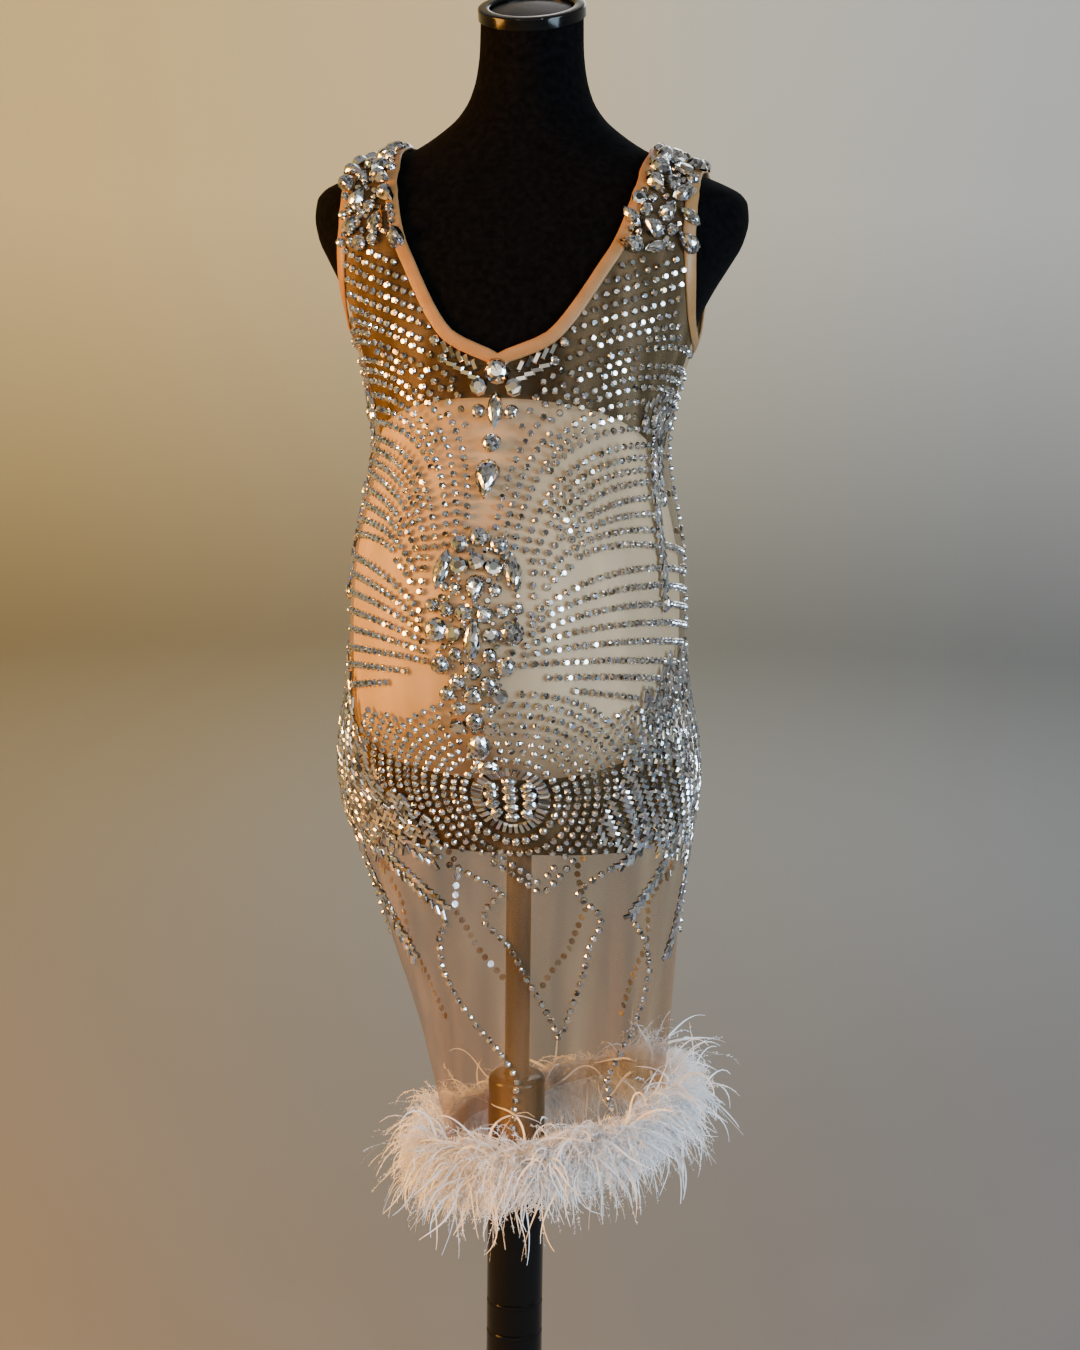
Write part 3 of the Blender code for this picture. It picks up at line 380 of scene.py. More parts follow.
def add_noise(material, scale, detail, stretch=(1, 1, 1)):
    """A noise texture on object coordinates; returns its value socket."""
    link = material.node_tree.links.new
    place = add_node(material, "TexCoord")
    mapping = add_node(material, "Mapping", Scale=stretch)
    noise = add_node(material, "TexNoise", Scale=scale, Detail=detail)
    link(place.outputs["Object"], mapping.inputs["Vector"])
    link(mapping.outputs["Vector"], noise.inputs["Vector"])
    return noise.outputs["Fac"]


def add_bump(material, height, strength, distance):
    link = material.node_tree.links.new
    bump = add_node(material, "Bump", Strength=strength, Distance=distance)
    link(height, bump.inputs["Height"])
    link(bump.outputs["Normal"], shader_of(material).inputs["Normal"])


def ramp(material, value, stops, socket="Base Color"):
    """Maps a value through colour stops of (place, colour) to a shader socket."""
    link = material.node_tree.links.new
    made = add_node(material, "ValToRGB")
    elements = made.color_ramp.elements
    while len(elements) < len(stops):
        elements.new(0.5)
    for element, (place, colour) in zip(elements, stops):
        element.position = place
        element.color = (*colour, 1.0)
    link(value, made.inputs["Fac"])
    link(made.outputs["Color"], shader_of(material).inputs[socket])
    return made


def varied(name, colour, roughness, tint, bump, socket="Base Color", **sockets):
    """A look whose colour or roughness one noise varies, with another noise as its bump.

    tint holds the noise's scale, its detail and the stops, bump its scale, detail, strength and
    distance.
    """
    made = principled(name, colour, roughness, **sockets)
    ramp(made, add_noise(made, *tint[:2]), tint[2], socket)
    if bump:
        add_bump(made, add_noise(made, *bump[:2]), *bump[2:])
    return made


WAVES_IN_UNIT = 3.18


def weave_height(material, pitch):
    """The knit's fine grid, from the cloth's own UV in metres."""
    link = material.node_tree.links.new
    uv = add_node(material, "UVMap")
    uv.uv_map = "cloth"
    both = add_node(material, "Math")
    both.operation = "MULTIPLY"
    for direction, socket in zip("XY", both.inputs):
        wave = add_node(material, "TexWave", Scale=1 / pitch / WAVES_IN_UNIT, Distortion=0.4)
        wave.bands_direction = direction
        link(uv.outputs["UV"], wave.inputs["Vector"])
        link(wave.outputs["Fac"], socket)
    return both.outputs[0]


def mesh_cloth():
    """Sheer nude stretch mesh: fine knit, a little sheen, and vertical streaks of colour that are
    partly the knit's uneven tone and partly painted shade and light of its pleats.
    """
    made = principled("sheer_mesh", (0.215, 0.138, 0.062), 0.62, Alpha=0.33, Sheen_Weight=0.08,
                      Sheen_Roughness=0.4, Sheen_Tint=(1.0, 0.86, 0.68, 1.0),
                      Specular_IOR_Level=0.2)
    # Vertical streaks in the colour: partly uneven tone, partly painted shade and light standing in
    # for the pleats.
    ramp(made, add_noise(made, 30.0, 4.0, (1, 1, 0.06)),
         [(0.34, (0.093, 0.053, 0.020)), (0.50, (0.21, 0.134, 0.061)),
          (0.66, (0.42, 0.285, 0.155))])
    add_bump(made, weave_height(made, 0.0011), 0.25, 0.0003)
    return made


def satin_binding():
    return varied("nude_binding", (0.34, 0.17, 0.058), 0.42,
                  (60, 6, [(0.3, (0.30, 0.15, 0.048)), (0.7, (0.39, 0.20, 0.075))]),
                  (900, 2, 0.25, 0.0002), Sheen_Weight=0.06, Sheen_Roughness=0.35,
                  Specular_IOR_Level=0.45)


def thread_look():
    return principled("thread", (0.46, 0.27, 0.12), 0.7, Sheen_Weight=0.1)


def crystal_look():
    """Foil-backed faceted glass with painted reflections: each facet gets a random painted
    lightness, and some a faint tint that is partly the stones' coating and partly painted
    reflection of the warm and cool lights.
    """
    made = principled("foiled_crystal", (0.8, 0.82, 0.84), 0.13, Metallic=1.0,
                      Coat_Weight=0.6, Coat_Roughness=0.03)
    # The facet attribute carries painted reflections: each facet's random value picks how bright it
    # looks, and for a few a golden, cyan or violet tint.
    facet = add_node(made, "Attribute")
    facet.attribute_name = "facet"
    ramp(made, facet.outputs["Fac"],
         [(0.0, (0.10, 0.10, 0.105)), (0.18, (0.30, 0.295, 0.29)), (0.38, (0.60, 0.60, 0.60)),
          (0.58, (0.92, 0.92, 0.92)), (0.76, (1.0, 0.93, 0.74)), (0.87, (0.62, 0.86, 1.0)),
          (0.95, (0.86, 0.78, 1.0)), (1.0, (1.0, 1.0, 1.0))])
    return made


def feather_look():
    return varied("feather_down", (0.97, 0.965, 0.975), 0.75,
                  (45, 3, [(0.3, (0.95, 0.94, 0.95)), (0.7, (0.99, 0.985, 0.99))]), None,
                  Sheen_Weight=0.8, Sheen_Roughness=0.3, Specular_IOR_Level=0.15)


def form_look():
    """Black flocked cover: very dark, soft nap, a faint sheen at the edges."""
    return varied("flocked_cover", (0.003, 0.003, 0.0032), 0.95,
                  (180, 6, [(0.35, (0.0015, 0.0015, 0.0017)), (0.75, (0.0045, 0.0045, 0.005))]),
                  (1400, 3, 0.5, 0.0005), Sheen_Weight=0.012, Sheen_Roughness=0.5,
                  Specular_IOR_Level=0.02)


def pad_look():
    """Smooth nude jersey stretched over filling."""
    return varied("nude_jersey", (0.92, 0.68, 0.43), 0.55,
                  (9, 4, [(0.3, (0.89, 0.65, 0.40)), (0.7, (0.95, 0.71, 0.46))]),
                  (1100, 2, 0.2, 0.0002), Sheen_Weight=0.1, Sheen_Roughness=0.4,
                  Subsurface_Weight=0.08, Subsurface_Scale=0.01)


def gloss_look():
    return varied("gloss_black_plastic", (0.003, 0.003, 0.0032), 0.16,
                  (30, 6, [(0.3, (0.10,) * 3), (0.8, (0.24,) * 3)]), (220, 2, 0.04, 0.0003),
                  "Roughness", Coat_Weight=0.12, Coat_Roughness=0.08, Specular_IOR_Level=0.22)


def satin_look():
    return varied("satin_black_paint", (0.007, 0.007, 0.0075), 0.38,
                  (50, 6, [(0.3, (0.32,) * 3), (0.8, (0.46,) * 3)]), (700, 3, 0.08, 0.0002),
                  "Roughness", Specular_IOR_Level=0.35)


# Mesh making

TURNED_SHARP_ANGLE = 35


def linked(name, data):
    """A new object of the scene that holds the data."""
    made = bpy.data.objects.new(name, data)
    bpy.context.scene.collection.objects.link(made)
    return made


def piece(name, verts, faces, material, replaces=(), body="form", smooth=True):
    """A named mesh that rides on a body and may stand for CAD nodes."""
    mesh = bpy.data.meshes.new(name)
    mesh.from_pydata([tuple(v) for v in np.asarray(verts).tolist()], [], faces)
    mesh.validate()
    if smooth:
        mesh.shade_smooth()
    mesh.materials.append(material)
    made = linked(name, mesh)
    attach(made, body)
    if replaces:
        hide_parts(*replaces)
    return made


def ring_faces(rings, sides, wraps=False):
    """Quads between rings of vertex numbers; the last ring meets the first if it wraps."""
    faces = []
    for r in range(rings if wraps else rings - 1):
        a, b = r * sides, (r + 1) % rings * sides
        for k in range(sides):
            n = (k + 1) % sides
            faces.append((a + k, a + n, b + n, b + k))
    return faces


def end_faces(rings, sides):
    """The two faces that close the first and the last ring."""
    return [tuple(reversed(range(sides))), tuple((rings - 1) * sides + k for k in range(sides))]


def spin(profile, sides):
    """Points about Z, ring after ring, from (radius, height) pairs."""
    angles = 2 * np.pi * np.arange(sides) / sides
    return [(r * math.sin(a), -r * math.cos(a), z) for r, z in profile for a in angles]


def turned(name, profile, material, body, sides=96, place=None):
    """A turned piece in a CAD node's place. A profile that doesn't close gets end faces."""
    faces = ring_faces(len(profile), sides)
    if profile[0] != profile[-1]:
        faces += end_faces(len(profile), sides)
    points = np.array(spin(profile, sides))
    if place is not None:
        points = points @ np.array(place.to_3x3()).T + np.array(place.translation)
    made = piece(name, points, faces, material, (name,), body)
    made.data.set_sharp_from_angle(angle=math.radians(TURNED_SHARP_ANGLE))


# The dress's panels

BODY_ROWS = 90
EDGE_FROM = BODY_ROWS - 1
EDGE_PARTS = 4
PANEL_COLUMNS = 34
CLOTH_PER_DEGREE = 0.0026


def panel_rows(is_front):
    """Rows from the hem up: bearing and height at both ends. Also the number of the notch's row."""
    body = np.linspace(0, 1, BODY_ROWS)
    rows = [(0, HEM + (V_TIP - HEM) * s, 90, HEM + (ARMHOLE_BOTTOM - HEM) * s) for s in body]
    neck, armhole = FRONT_NECK, ARMHOLE
    if not is_front:
        for z, (x, arm_z) in zip(BACK_MIDDLE_ROWS, ARMHOLE):
            rows.append((0, z, float(bearing_at(x, arm_z)), arm_z))
        neck, armhole = BACK_NECK, ARMHOLE[len(BACK_MIDDLE_ROWS):]
    for (x, z), (arm_x, arm_z) in zip(neck, armhole):
        rows.append((float(bearing_at(x, z)), z, float(bearing_at(arm_x, arm_z)), arm_z))
    rows.append((90, crest_height(STRAP_INSIDE), 90, crest_height(STRAP_OUTSIDE)))
    return np.array(rows), EDGE_FROM if is_front else EDGE_FROM + len(BACK_MIDDLE_ROWS)


def fine_rows(rows):
    """The rows, with smooth ones set between those that reach up the armhole."""
    index = np.arange(len(rows))
    finer = np.linspace(EDGE_FROM, index[-1], (index[-1] - EDGE_FROM) * EDGE_PARTS + 1)
    fine = np.concatenate([index[:EDGE_FROM], finer])
    return np.stack([Curve(index, column)(fine) for column in rows.T], axis=-1)


def edge_curves(is_front):
    """Fine neck and armhole edges of a panel: arrays of bearing and height from the notch up."""
    rows, notch = panel_rows(is_front)
    fine = fine_rows(rows)
    neck_from = EDGE_FROM + (notch - EDGE_FROM) * EDGE_PARTS
    return fine[neck_from:, :2], fine[EDGE_FROM:, 2:]


def build_panel(name, is_front, material):
    """A thin shell on the wall's form, both halves sharing the middle below the notch."""
    fine = fine_rows(panel_rows(is_front)[0])
    share = np.linspace(0, 1, PANEL_COLUMNS + 1)
    verts, uvs, faces, number = [], [], [], {}
    for r, (inner, inner_z, outer, outer_z) in enumerate(fine):
        bearing, z = mix(inner, outer, share), mix(inner_z, outer_z, share)
        for side in (-1, 1):
            turned_to = side * (bearing if is_front else 180 - bearing)
            points = on_cloth(turned_to, hem_height(turned_to, z))
            for c in range(PANEL_COLUMNS + 1):
                if c == 0 and inner == 0 and side == 1:
                    number[r, c, side] = number[r, c, -1]
                    continue
                number[r, c, side] = len(verts)
                verts.append(points[c])
                uvs.append((side * bearing[c] * CLOTH_PER_DEGREE, z[c]))
    for side in (-1, 1):
        for r in range(len(fine) - 1):
            for c in range(PANEL_COLUMNS):
                quad = [number[r, c, side], number[r, c + 1, side],
                        number[r + 1, c + 1, side], number[r + 1, c, side]]
                faces.append(quad if (side == 1) == is_front else quad[::-1])
    made = piece(name, verts, faces, material, (name,))
    layer = made.data.uv_layers.new(name="cloth")
    for loop in made.data.loops:
        layer.data[loop.index].uv = uvs[loop.vertex_index]
    return made


# Bindings: a folded strip round each edge. Columns: distance in from the edge, height
BINDING_SECTION = (
    (-0.0007, 0.0012), (-0.0004, 0.0024), (0.0012, 0.003), (0.0052, 0.0032), (0.0092, 0.003),
    (0.0104, 0.0024), (0.0105, 0.0014), (0.005, 0.0004), (0.0004, 0.0003),
)
STITCH_INSET = 0.0086
STITCH_PITCH = 0.0031
STITCH_LIFT = 0.0031
LOOP_PITCH = 0.0040


def smooth_loop(points):
    """A closed run of points, softened three times so that the strip turns without kinks."""
    for _ in range(3):
        points = (np.roll(points, 1, 0) + 2 * points + np.roll(points, -1, 0)) / 4
    return points


def loop_places(corners, side_of_inside):
    """Edge places of a closed loop and the step across the cloth, towards its inside."""
    bearing, z = corners[:, 0], corners[:, 1]
    across, up, out = frames(bearing, z)
    points = skin(bearing, z)
    heading = unit(np.roll(points, -1, 0) - np.roll(points, 1, 0))
    inward = unit(np.cross(out, heading)) * side_of_inside
    inward = unit(smooth_loop(inward))
    return bearing, z, (inward * across).sum(-1), (inward * up).sum(-1)


def build_binding(name, corners, side_of_inside, material):
    """A closed strip whose section follows the edge; returns it and its stitch places."""
    bearing, z, right, up = loop_places(corners, side_of_inside)
    rings = []
    for distance, height in BINDING_SECTION:
        b, h = walk(bearing, z, right * distance, up * distance, 5)
        rings.append(skin(b, h) + outward(skin, b, h) * height)
    verts = np.concatenate(rings)
    faces = ring_faces(len(BINDING_SECTION), len(corners), wraps=True)
    made = piece(name, verts, faces, material, (name,))
    stitch_line = walk(bearing, z, right * STITCH_INSET, up * STITCH_INSET, 5)
    return made, np.stack(stitch_line, axis=-1)


def spaced(bearing, z, pitch, closed=False):
    """Even places along a line on the cloth: bearing, height and heading angle."""
    if closed:
        bearing, z = np.append(bearing, bearing[0]), np.append(z, z[0])
    points = skin(bearing, z)
    run = np.concatenate(([0], np.cumsum(np.linalg.norm(np.diff(points, axis=0), axis=1))))
    count = max(2, int(run[-1] / pitch) + 1)
    at = (np.arange(count) + 0.5 * (run[-1] / pitch % 1)) * pitch
    at = at[at <= run[-1]]
    b, h = np.interp(at, run, bearing), np.interp(at, run, z)
    ahead, behind = at + pitch * 0.3, at - pitch * 0.3
    across, up, _ = frames(b, h)
    heading = (skin(np.interp(ahead, run, bearing), np.interp(ahead, run, z))
               - skin(np.interp(behind, run, bearing), np.interp(behind, run, z)))
    angle = np.arctan2((heading * up).sum(-1), (heading * across).sum(-1))
    return b, h, angle


def neck_corners():
    """The neckline as one closed loop of places, going up at +X and down at -X."""
    front, back = edge_curves(True)[0], edge_curves(False)[0]
    right = np.concatenate([front, [(180 - b, z) for b, z in back[::-1][1:]]])
    left = np.array([(-b, z) for b, z in right[::-1][1:-1]])
    return even_loop(np.concatenate([right, left]))


def armhole_corners(side):
    front, back = edge_curves(True)[1], edge_curves(False)[1]
    loop = np.concatenate([front, [(180 - b, z) for b, z in back[::-1][1:-1]]])
    loop[:, 0] *= side
    return even_loop(loop)


def even_loop(corners):
    """The same closed loop with evenly spaced places; bearings run on past 180."""
    bearing = np.degrees(np.unwrap(np.radians(corners[:, 0])))
    points = skin(bearing, corners[:, 1])
    closing = np.append(bearing, bearing[0] + 360 * round((bearing[-1] - bearing[0]) / 360))
    heights = np.append(corners[:, 1], corners[0, 1])
    steps = np.linalg.norm(np.diff(np.concatenate([points, points[:1]]), axis=0), axis=1)
    run = np.concatenate(([0], np.cumsum(steps)))
    at = np.linspace(0, run[-1], int(run[-1] / LOOP_PITCH) + 1)[:-1]
    return np.stack([np.interp(at, run, closing), np.interp(at, run, heights)], axis=-1)


# Stones

def outline_round(angle):
    return np.stack([np.cos(angle), np.sin(angle)], axis=-1)


def outline_marquise(angle):
    return np.stack([np.cos(angle), np.sin(angle) * np.abs(np.sin(angle)) ** 0.55], axis=-1)


def outline_drop(angle):
    wide = (0.5 + 0.5 * np.cos(angle)) ** 0.42
    return np.stack([np.cos(angle), np.sin(angle) * wide * 1.12], axis=-1)


def outline_baguette(angle):
    square = np.stack([np.cos(angle), np.sin(angle)], axis=-1)
    return square / np.abs(square).max(-1, keepdims=True)


def gem(outline, sides, tiers, start=0.0):
    """A faceted stone of unit half sizes from tiers of (scale, height, half steps turned).

    Returns its points, its triangles and the number of the facet that each triangle is part of.
    """
    verts, tris, facets = [], [], []
    for scale, height, turn in tiers:
        angle = start + 2 * np.pi * (np.arange(sides) + 0.5 * turn) / sides
        flat = outline(angle) * scale
        verts.append(np.column_stack([flat, np.full(sides, height)]))
    for t, (tier, above) in enumerate(zip(tiers, tiers[1:])):
        low, high = t * sides, (t + 1) * sides
        for k in range(sides):
            n = (k + 1) % sides
            facet = 2 * (low + k)
            if above[2] > tier[2]:
                tris += [(low + k, low + n, high + k), (low + n, high + n, high + k)]
                facets += [facet, facet + 1]
            else:
                tris += [(low + k, low + n, high + n), (low + k, high + n, high + k)]
                facets += [facet, facet]
    top = (len(tiers) - 1) * sides
    for k in range(1, sides - 1):
        tris += [(top, top + k, top + k + 1), (0, k + 1, k)]
        facets += [2 * top, 2 * top + 1]
    return np.concatenate(verts), np.array(tris), np.array(facets)


SMALL_TIERS = ((1.0, 0.0, 0), (0.96, 0.25, 0), (0.58, 1.0, 1))
LARGE_TIERS = ((0.90, 0.0, 0), (1.0, 0.20, 0), (0.86, 0.50, 1), (0.68, 0.82, 2),
               (0.44, 1.0, 3), (0.06, 1.03, 4))
FLAT_TIERS = ((1.0, 0.0, 0), (1.0, 0.5, 0), (0.88, 0.90, 0), (0.46, 1.0, 1))
GEMS = {
    "small": gem(outline_round, 8, SMALL_TIERS),
    "round": gem(outline_round, 12, LARGE_TIERS),
    "flat": gem(outline_round, 8, FLAT_TIERS),
    "marquise": gem(outline_marquise, 12, LARGE_TIERS),
    "drop": gem(outline_drop, 14, LARGE_TIERS),
    "oval": gem(outline_round, 12, LARGE_TIERS),
    "baguette": gem(outline_baguette, 4, ((1.0, 0.0, 0), (1.0, 0.45, 0), (0.72, 1.0, 0)),
                    np.pi / 4),
}


class Stones:
    """Gathers stones for one joined mesh. Sizes are length, width and height in metres."""

    placed = np.zeros((0, 4))

    def __init__(self):
        self.verts, self.tris, self.facets, self.total = [], [], [], 0

    def room(self, points, radius):
        """Which points have room for a stone of that radius, one after another."""
        keep = []
        for point in points:
            near = np.linalg.norm(Stones.placed[:, :3] - point, axis=1)
            free = bool((near > Stones.placed[:, 3] + radius).all())
            keep.append(free)
            if free:
                Stones.placed = np.vstack([Stones.placed, [*point, radius]])
        return np.array(keep, bool)

    def add(self, kind, bearing, z, angle, size, lift=0.0003, radius=None, wobble=0.05):
        """Sets stones of one kind at places of the cloth where they have room."""
        bearing, z, angle = np.broadcast_arrays(*(np.atleast_1d(np.asarray(value, float))
                                                  for value in (bearing, z, angle)))
        if not len(bearing):
            return
        points = on_cloth(bearing, z, CLOTH_MIDDLE + lift)
        size = np.broadcast_to(np.asarray(size, float), (len(bearing), 3)) / (2, 2, 1)
        if radius is not None:
            keep = self.room(points, radius)
            bearing, z, angle, points, size = (value[keep] for value in
                                               (bearing, z, angle, points, size))
        across, up, out = frames(bearing, z)
        tilt = random.normal(0, wobble, (len(bearing), 2))
        out = unit(out + across * tilt[:, :1] + up * tilt[:, 1:])
        cos, sin = np.cos(angle)[:, None], np.sin(angle)[:, None]
        along = unit(across * cos + up * sin)
        along = unit(along - out * (along * out).sum(-1, keepdims=True))
        beside = np.cross(out, along)
        template, tris, facets = GEMS[kind]
        local = template[None] * size[:, None]
        verts = (points[:, None] + local[..., :1] * along[:, None]
                 + local[..., 1:2] * beside[:, None] + local[..., 2:] * out[:, None])
        first = self.total + np.arange(len(verts)) * len(template)
        self.verts.append(verts.reshape(-1, 3))
        self.tris.append((tris[None] + first[:, None, None]).reshape(-1, 3))
        # Painted reflection: a random value for each facet, which the crystal look turns into how
        # bright and how tinted the facet is.
        facet_reflection = random.random((len(verts), facets.max() + 1))
        self.facets.append(facet_reflection[:, facets].reshape(-1))
        self.total += len(verts) * len(template)

    def build(self, name, material):
        """One mesh whose facets each hold a random value of painted reflection."""
        tris = np.concatenate(self.tris)
        made = piece(name, np.concatenate(self.verts), tris.tolist(), material,
                     smooth=False)
        facet = made.data.attributes.new("facet", "FLOAT", "FACE")
        facet.data.foreach_set("value", np.concatenate(self.facets).astype(np.float32))
        return made


# How high a stone is for its width, and the share of its width that its neighbours leave free
GEM_HEIGHT = 0.42
CENTRE_ROOM = 0.43
STRAP_ROOM = 0.222

METRES_PER_DEGREE = 0.0030
BENT_POINTS = 60
STRAIGHT_POINTS = 80


def bent(start, end, heading, lead):
    """A line from start to end that sets out along a heading in degrees, 90 being up."""
    start, end = np.array(start, float), np.array(end, float)
    aim = np.array([math.cos(math.radians(heading)) / METRES_PER_DEGREE,
                    math.sin(math.radians(heading))])
    gap = (end - start) * (METRES_PER_DEGREE, 1)
    middle = start + aim * lead * np.linalg.norm(gap)
    t = np.linspace(0, 1, BENT_POINTS)[:, None]
    line = (1 - t) ** 2 * start + 2 * t * (1 - t) * middle + t ** 2 * end
    return line[:, 0], line[:, 1]


def through(points, side):
    """A line in straight runs through a few places, on one side of the dress."""
    points = np.array(points, float) * (side, 1)
    index = np.arange(len(points))
    fine = np.linspace(0, len(points) - 1, STRAIGHT_POINTS)
    return np.interp(fine, index, points[:, 0]), np.interp(fine, index, points[:, 1])


# Fans of rows on one side of the front. Columns: inner place of the first row, of the last, the
# rows' outer places, first and last heading, first and last lead
FANS = (
    ((29, 1.232), (19.5, 1.180),
     ((45, 1.252), (49, 1.241), (52, 1.230), (55, 1.218), (58, 1.206)), (12, 16), (0.50, 0.50)),
    ((16.5, 1.163), (8, 1.099),
     ((61, 1.194), (64, 1.183), (67, 1.173), (76, 1.163), (88, 1.156), (88, 1.150)),
     (20, 48), (0.50, 0.48)),
    ((4.6, 1.006), (13, 1.010),
     ((88, 1.141), (88, 1.131), (88, 1.121), (82, 1.112), (74, 1.104), (69, 1.094)),
     (91, 83), (0.64, 0.58)),
    ((15, 1.006), (18, 0.990),
     ((67, 1.083), (66, 1.073), (66, 1.063), (65, 1.053)), (79, 68), (0.52, 0.48)),
    ((17.5, 0.984), (18, 0.966),
     ((66, 1.040), (67, 1.026), (68, 1.012), (69, 0.998), (88, 0.986)), (62, 50), (0.46, 0.42)),
    ((17.5, 0.957), (15.5, 0.918),
     ((91, 0.966), (92, 0.950), (92, 0.934), (92, 0.918), (92, 0.902), (86, 0.889)),
     (34, 4), (0.42, 0.40)),
    ((22, 0.907), (31, 0.894), ((76, 0.880), (64, 0.869)), (-2, -10), (0.50, 0.50)),
)


def fan_rows(side):
    for first, last, outer, headings, leads in FANS:
        for k, (end, end_z) in enumerate(outer):
            share = k / (len(outer) - 1)
            heading = mix(*headings, share)
            yield bent((side * mix(first[0], last[0], share), mix(first[1], last[1], share)),
                       (side * end, end_z), heading if side == 1 else 180 - heading,
                       mix(*leads, share))


# Large stones down the centre front. Columns: kind, sideways and height in metres, length; then
# width and angle in degrees, where it isn't as wide as it is long
CENTRE_STONES = (
    ("round", 0, 1.146, 0.019), ("flat", -0.015, 1.1325, 0.013), ("flat", 0.015, 1.1325, 0.013),
    ("marquise", 0, 1.114, 0.027, 0.012, 90), ("round", -0.014, 1.113, 0.011),
    ("round", 0.014, 1.113, 0.011), ("round", 0, 1.088, 0.015),
    ("drop", 0, 1.06, 0.031, 0.02, 90), ("round", -0.016, 1.011, 0.014),
    ("round", 0, 1.017, 0.015), ("round", 0.016, 1.011, 0.014),
    ("marquise", -0.029, 0.991, 0.03, 0.013, 82), ("marquise", 0.029, 0.991, 0.03, 0.013, 98),
    ("flat", -0.014, 0.994, 0.013), ("flat", 0, 0.998, 0.013), ("flat", 0.014, 0.994, 0.013),
    ("drop", 0, 0.977, 0.021, 0.016, 90), ("round", -0.016, 0.977, 0.01),
    ("round", 0.016, 0.977, 0.01), ("round", -0.036, 0.963, 0.011),
    ("round", -0.023, 0.961, 0.012), ("round", -0.008, 0.959, 0.014),
    ("round", 0.009, 0.958, 0.013), ("round", 0.023, 0.961, 0.011), ("round", 0.035, 0.963, 0.01),
    ("round", -0.031, 0.944, 0.018), ("flat", -0.015, 0.942, 0.012),
    ("marquise", 0, 0.938, 0.029, 0.014, 90), ("flat", 0.015, 0.942, 0.012),
    ("round", 0.031, 0.944, 0.018), ("round", -0.014, 0.926, 0.011),
    ("round", 0.014, 0.926, 0.011), ("round", -0.027, 0.917, 0.015), ("round", 0, 0.913, 0.014),
    ("round", 0.027, 0.917, 0.015), ("round", -0.013, 0.903, 0.013),
    ("round", 0.013, 0.903, 0.012), ("round", 0, 0.893, 0.015), ("round", -0.022, 0.893, 0.012),
    ("flat", 0.022, 0.893, 0.012), ("round", -0.012, 0.881, 0.011),
    ("round", 0.012, 0.881, 0.012), ("round", 0, 0.871, 0.014), ("flat", -0.014, 0.866, 0.012),
    ("flat", 0.014, 0.866, 0.012), ("oval", 0, 0.847, 0.024, 0.018, 90),
    ("oval", 0, 0.826, 0.018, 0.013, 0),
)
# The medallion below them: where its middle is, its two rings and how much taller than wide they
# are, then its ovals in the middle and at the sides
MEDALLION = (0.007, 0.793)
MEDALLION_RINGS = (
    (0.0285, 0.0050, "baguette", (0.0105, 0.0040, 0.0026), 0.0020),
    (0.0400, 0.0088, "round", (0.0078, 0.0078, 0.0036), 0.0037),
)
MEDALLION_HEIGHT = 1.28
MEDALLION_MIDDLE = (-0.0225, -0.0110, 0.0005, 0.0120, 0.0235)
MEDALLION_SIDES = ((0.0135, -0.0185, -38), (0.0160, -0.0072, -10), (0.0160, 0.0048, 10),
                   (0.0145, 0.0168, 36))
MEDALLION_OVAL = (0.0142, 0.0100, 0.0048)
# Rings of small stones round it: their radii, how far they may reach down and up, and how much
# taller than wide they are
MEDALLION_ROWS = (0.0490, 0.0576, 0.0662, 0.0750, 0.0838, 0.0926, 0.1014, 0.1102,
                  0.1190, 0.1278, 0.1366, 0.1454)
MEDALLION_WHOLE_ROWS = 0.112
MEDALLION_REACH = (-0.066, 0.088)
MEDALLION_ROW_HEIGHT = 1.10
CENTRE_SCALE = 1.18


def set_centre(stones):
    """The column of large stones and the medallion at its foot."""
    for kind, right, z, length, *rest in CENTRE_STONES:
        width, angle = rest or (length, 0)
        bearing, height = walk(0.0, z, right, 0.0)
        size = np.array((length, width, width * GEM_HEIGHT)) * CENTRE_SCALE
        stones.add(kind, bearing, height, math.radians(angle), size,
                   radius=size[1] * CENTRE_ROOM)
    centre_b, centre_z = walk(0.0, MEDALLION[1], MEDALLION[0], 0.0)
    inner = [(0.0, up, 0) for up in MEDALLION_MIDDLE]
    for side in (-1, 1):
        inner += [(side * right, up, side * lean) for right, up, lean in MEDALLION_SIDES]
    for right, up, lean in inner:
        bearing, z = walk(centre_b, centre_z, right, up)
        stones.add("oval", bearing, z, math.radians(lean), MEDALLION_OVAL, radius=0.0046)
    for ring in MEDALLION_RINGS:
        set_ring(stones, centre_b, centre_z, *ring)


def set_ring(stones, bearing, z, ring, pitch, kind, size, radius):
    """Stones in a ring on the cloth, each with its length pointing at the centre."""
    count = int(2 * math.pi * ring / pitch)
    angle = 2 * np.pi * np.arange(count) / count + 0.5
    b, h = walk(np.full(count, bearing), np.full(count, z), ring * np.cos(angle),
                ring * np.sin(angle) * MEDALLION_HEIGHT)
    stones.add(kind, b, h, angle, size, radius=radius)


# What fills the column's gaps. Columns: kind, width, tries; then height, reach to each side
FILLERS = (("round", 0.0085, 160), ("small", 0.0065, 260), ("small", 0.0048, 380))
FILLER_REACH = ((0.858, 0.016), (0.90, 0.026), (0.945, 0.036), (0.985, 0.034), (1.020, 0.014))
FILLER_TURN = 900


def set_fillers(stones):
    """Small rounds in the gaps between the large stones of the middle column."""
    heights, reaches = zip(*FILLER_REACH)
    for kind, size, tries in FILLERS:
        z = random.uniform(heights[0], heights[-1], tries)
        reach = np.interp(z, heights, reaches)
        bearing, height = walk(np.zeros(tries), z, random.uniform(-1, 1, tries) * reach, 0.0)
        stones.add(kind, bearing, height, z * FILLER_TURN, (size, size, size * 0.45),
                   radius=size * 0.52)


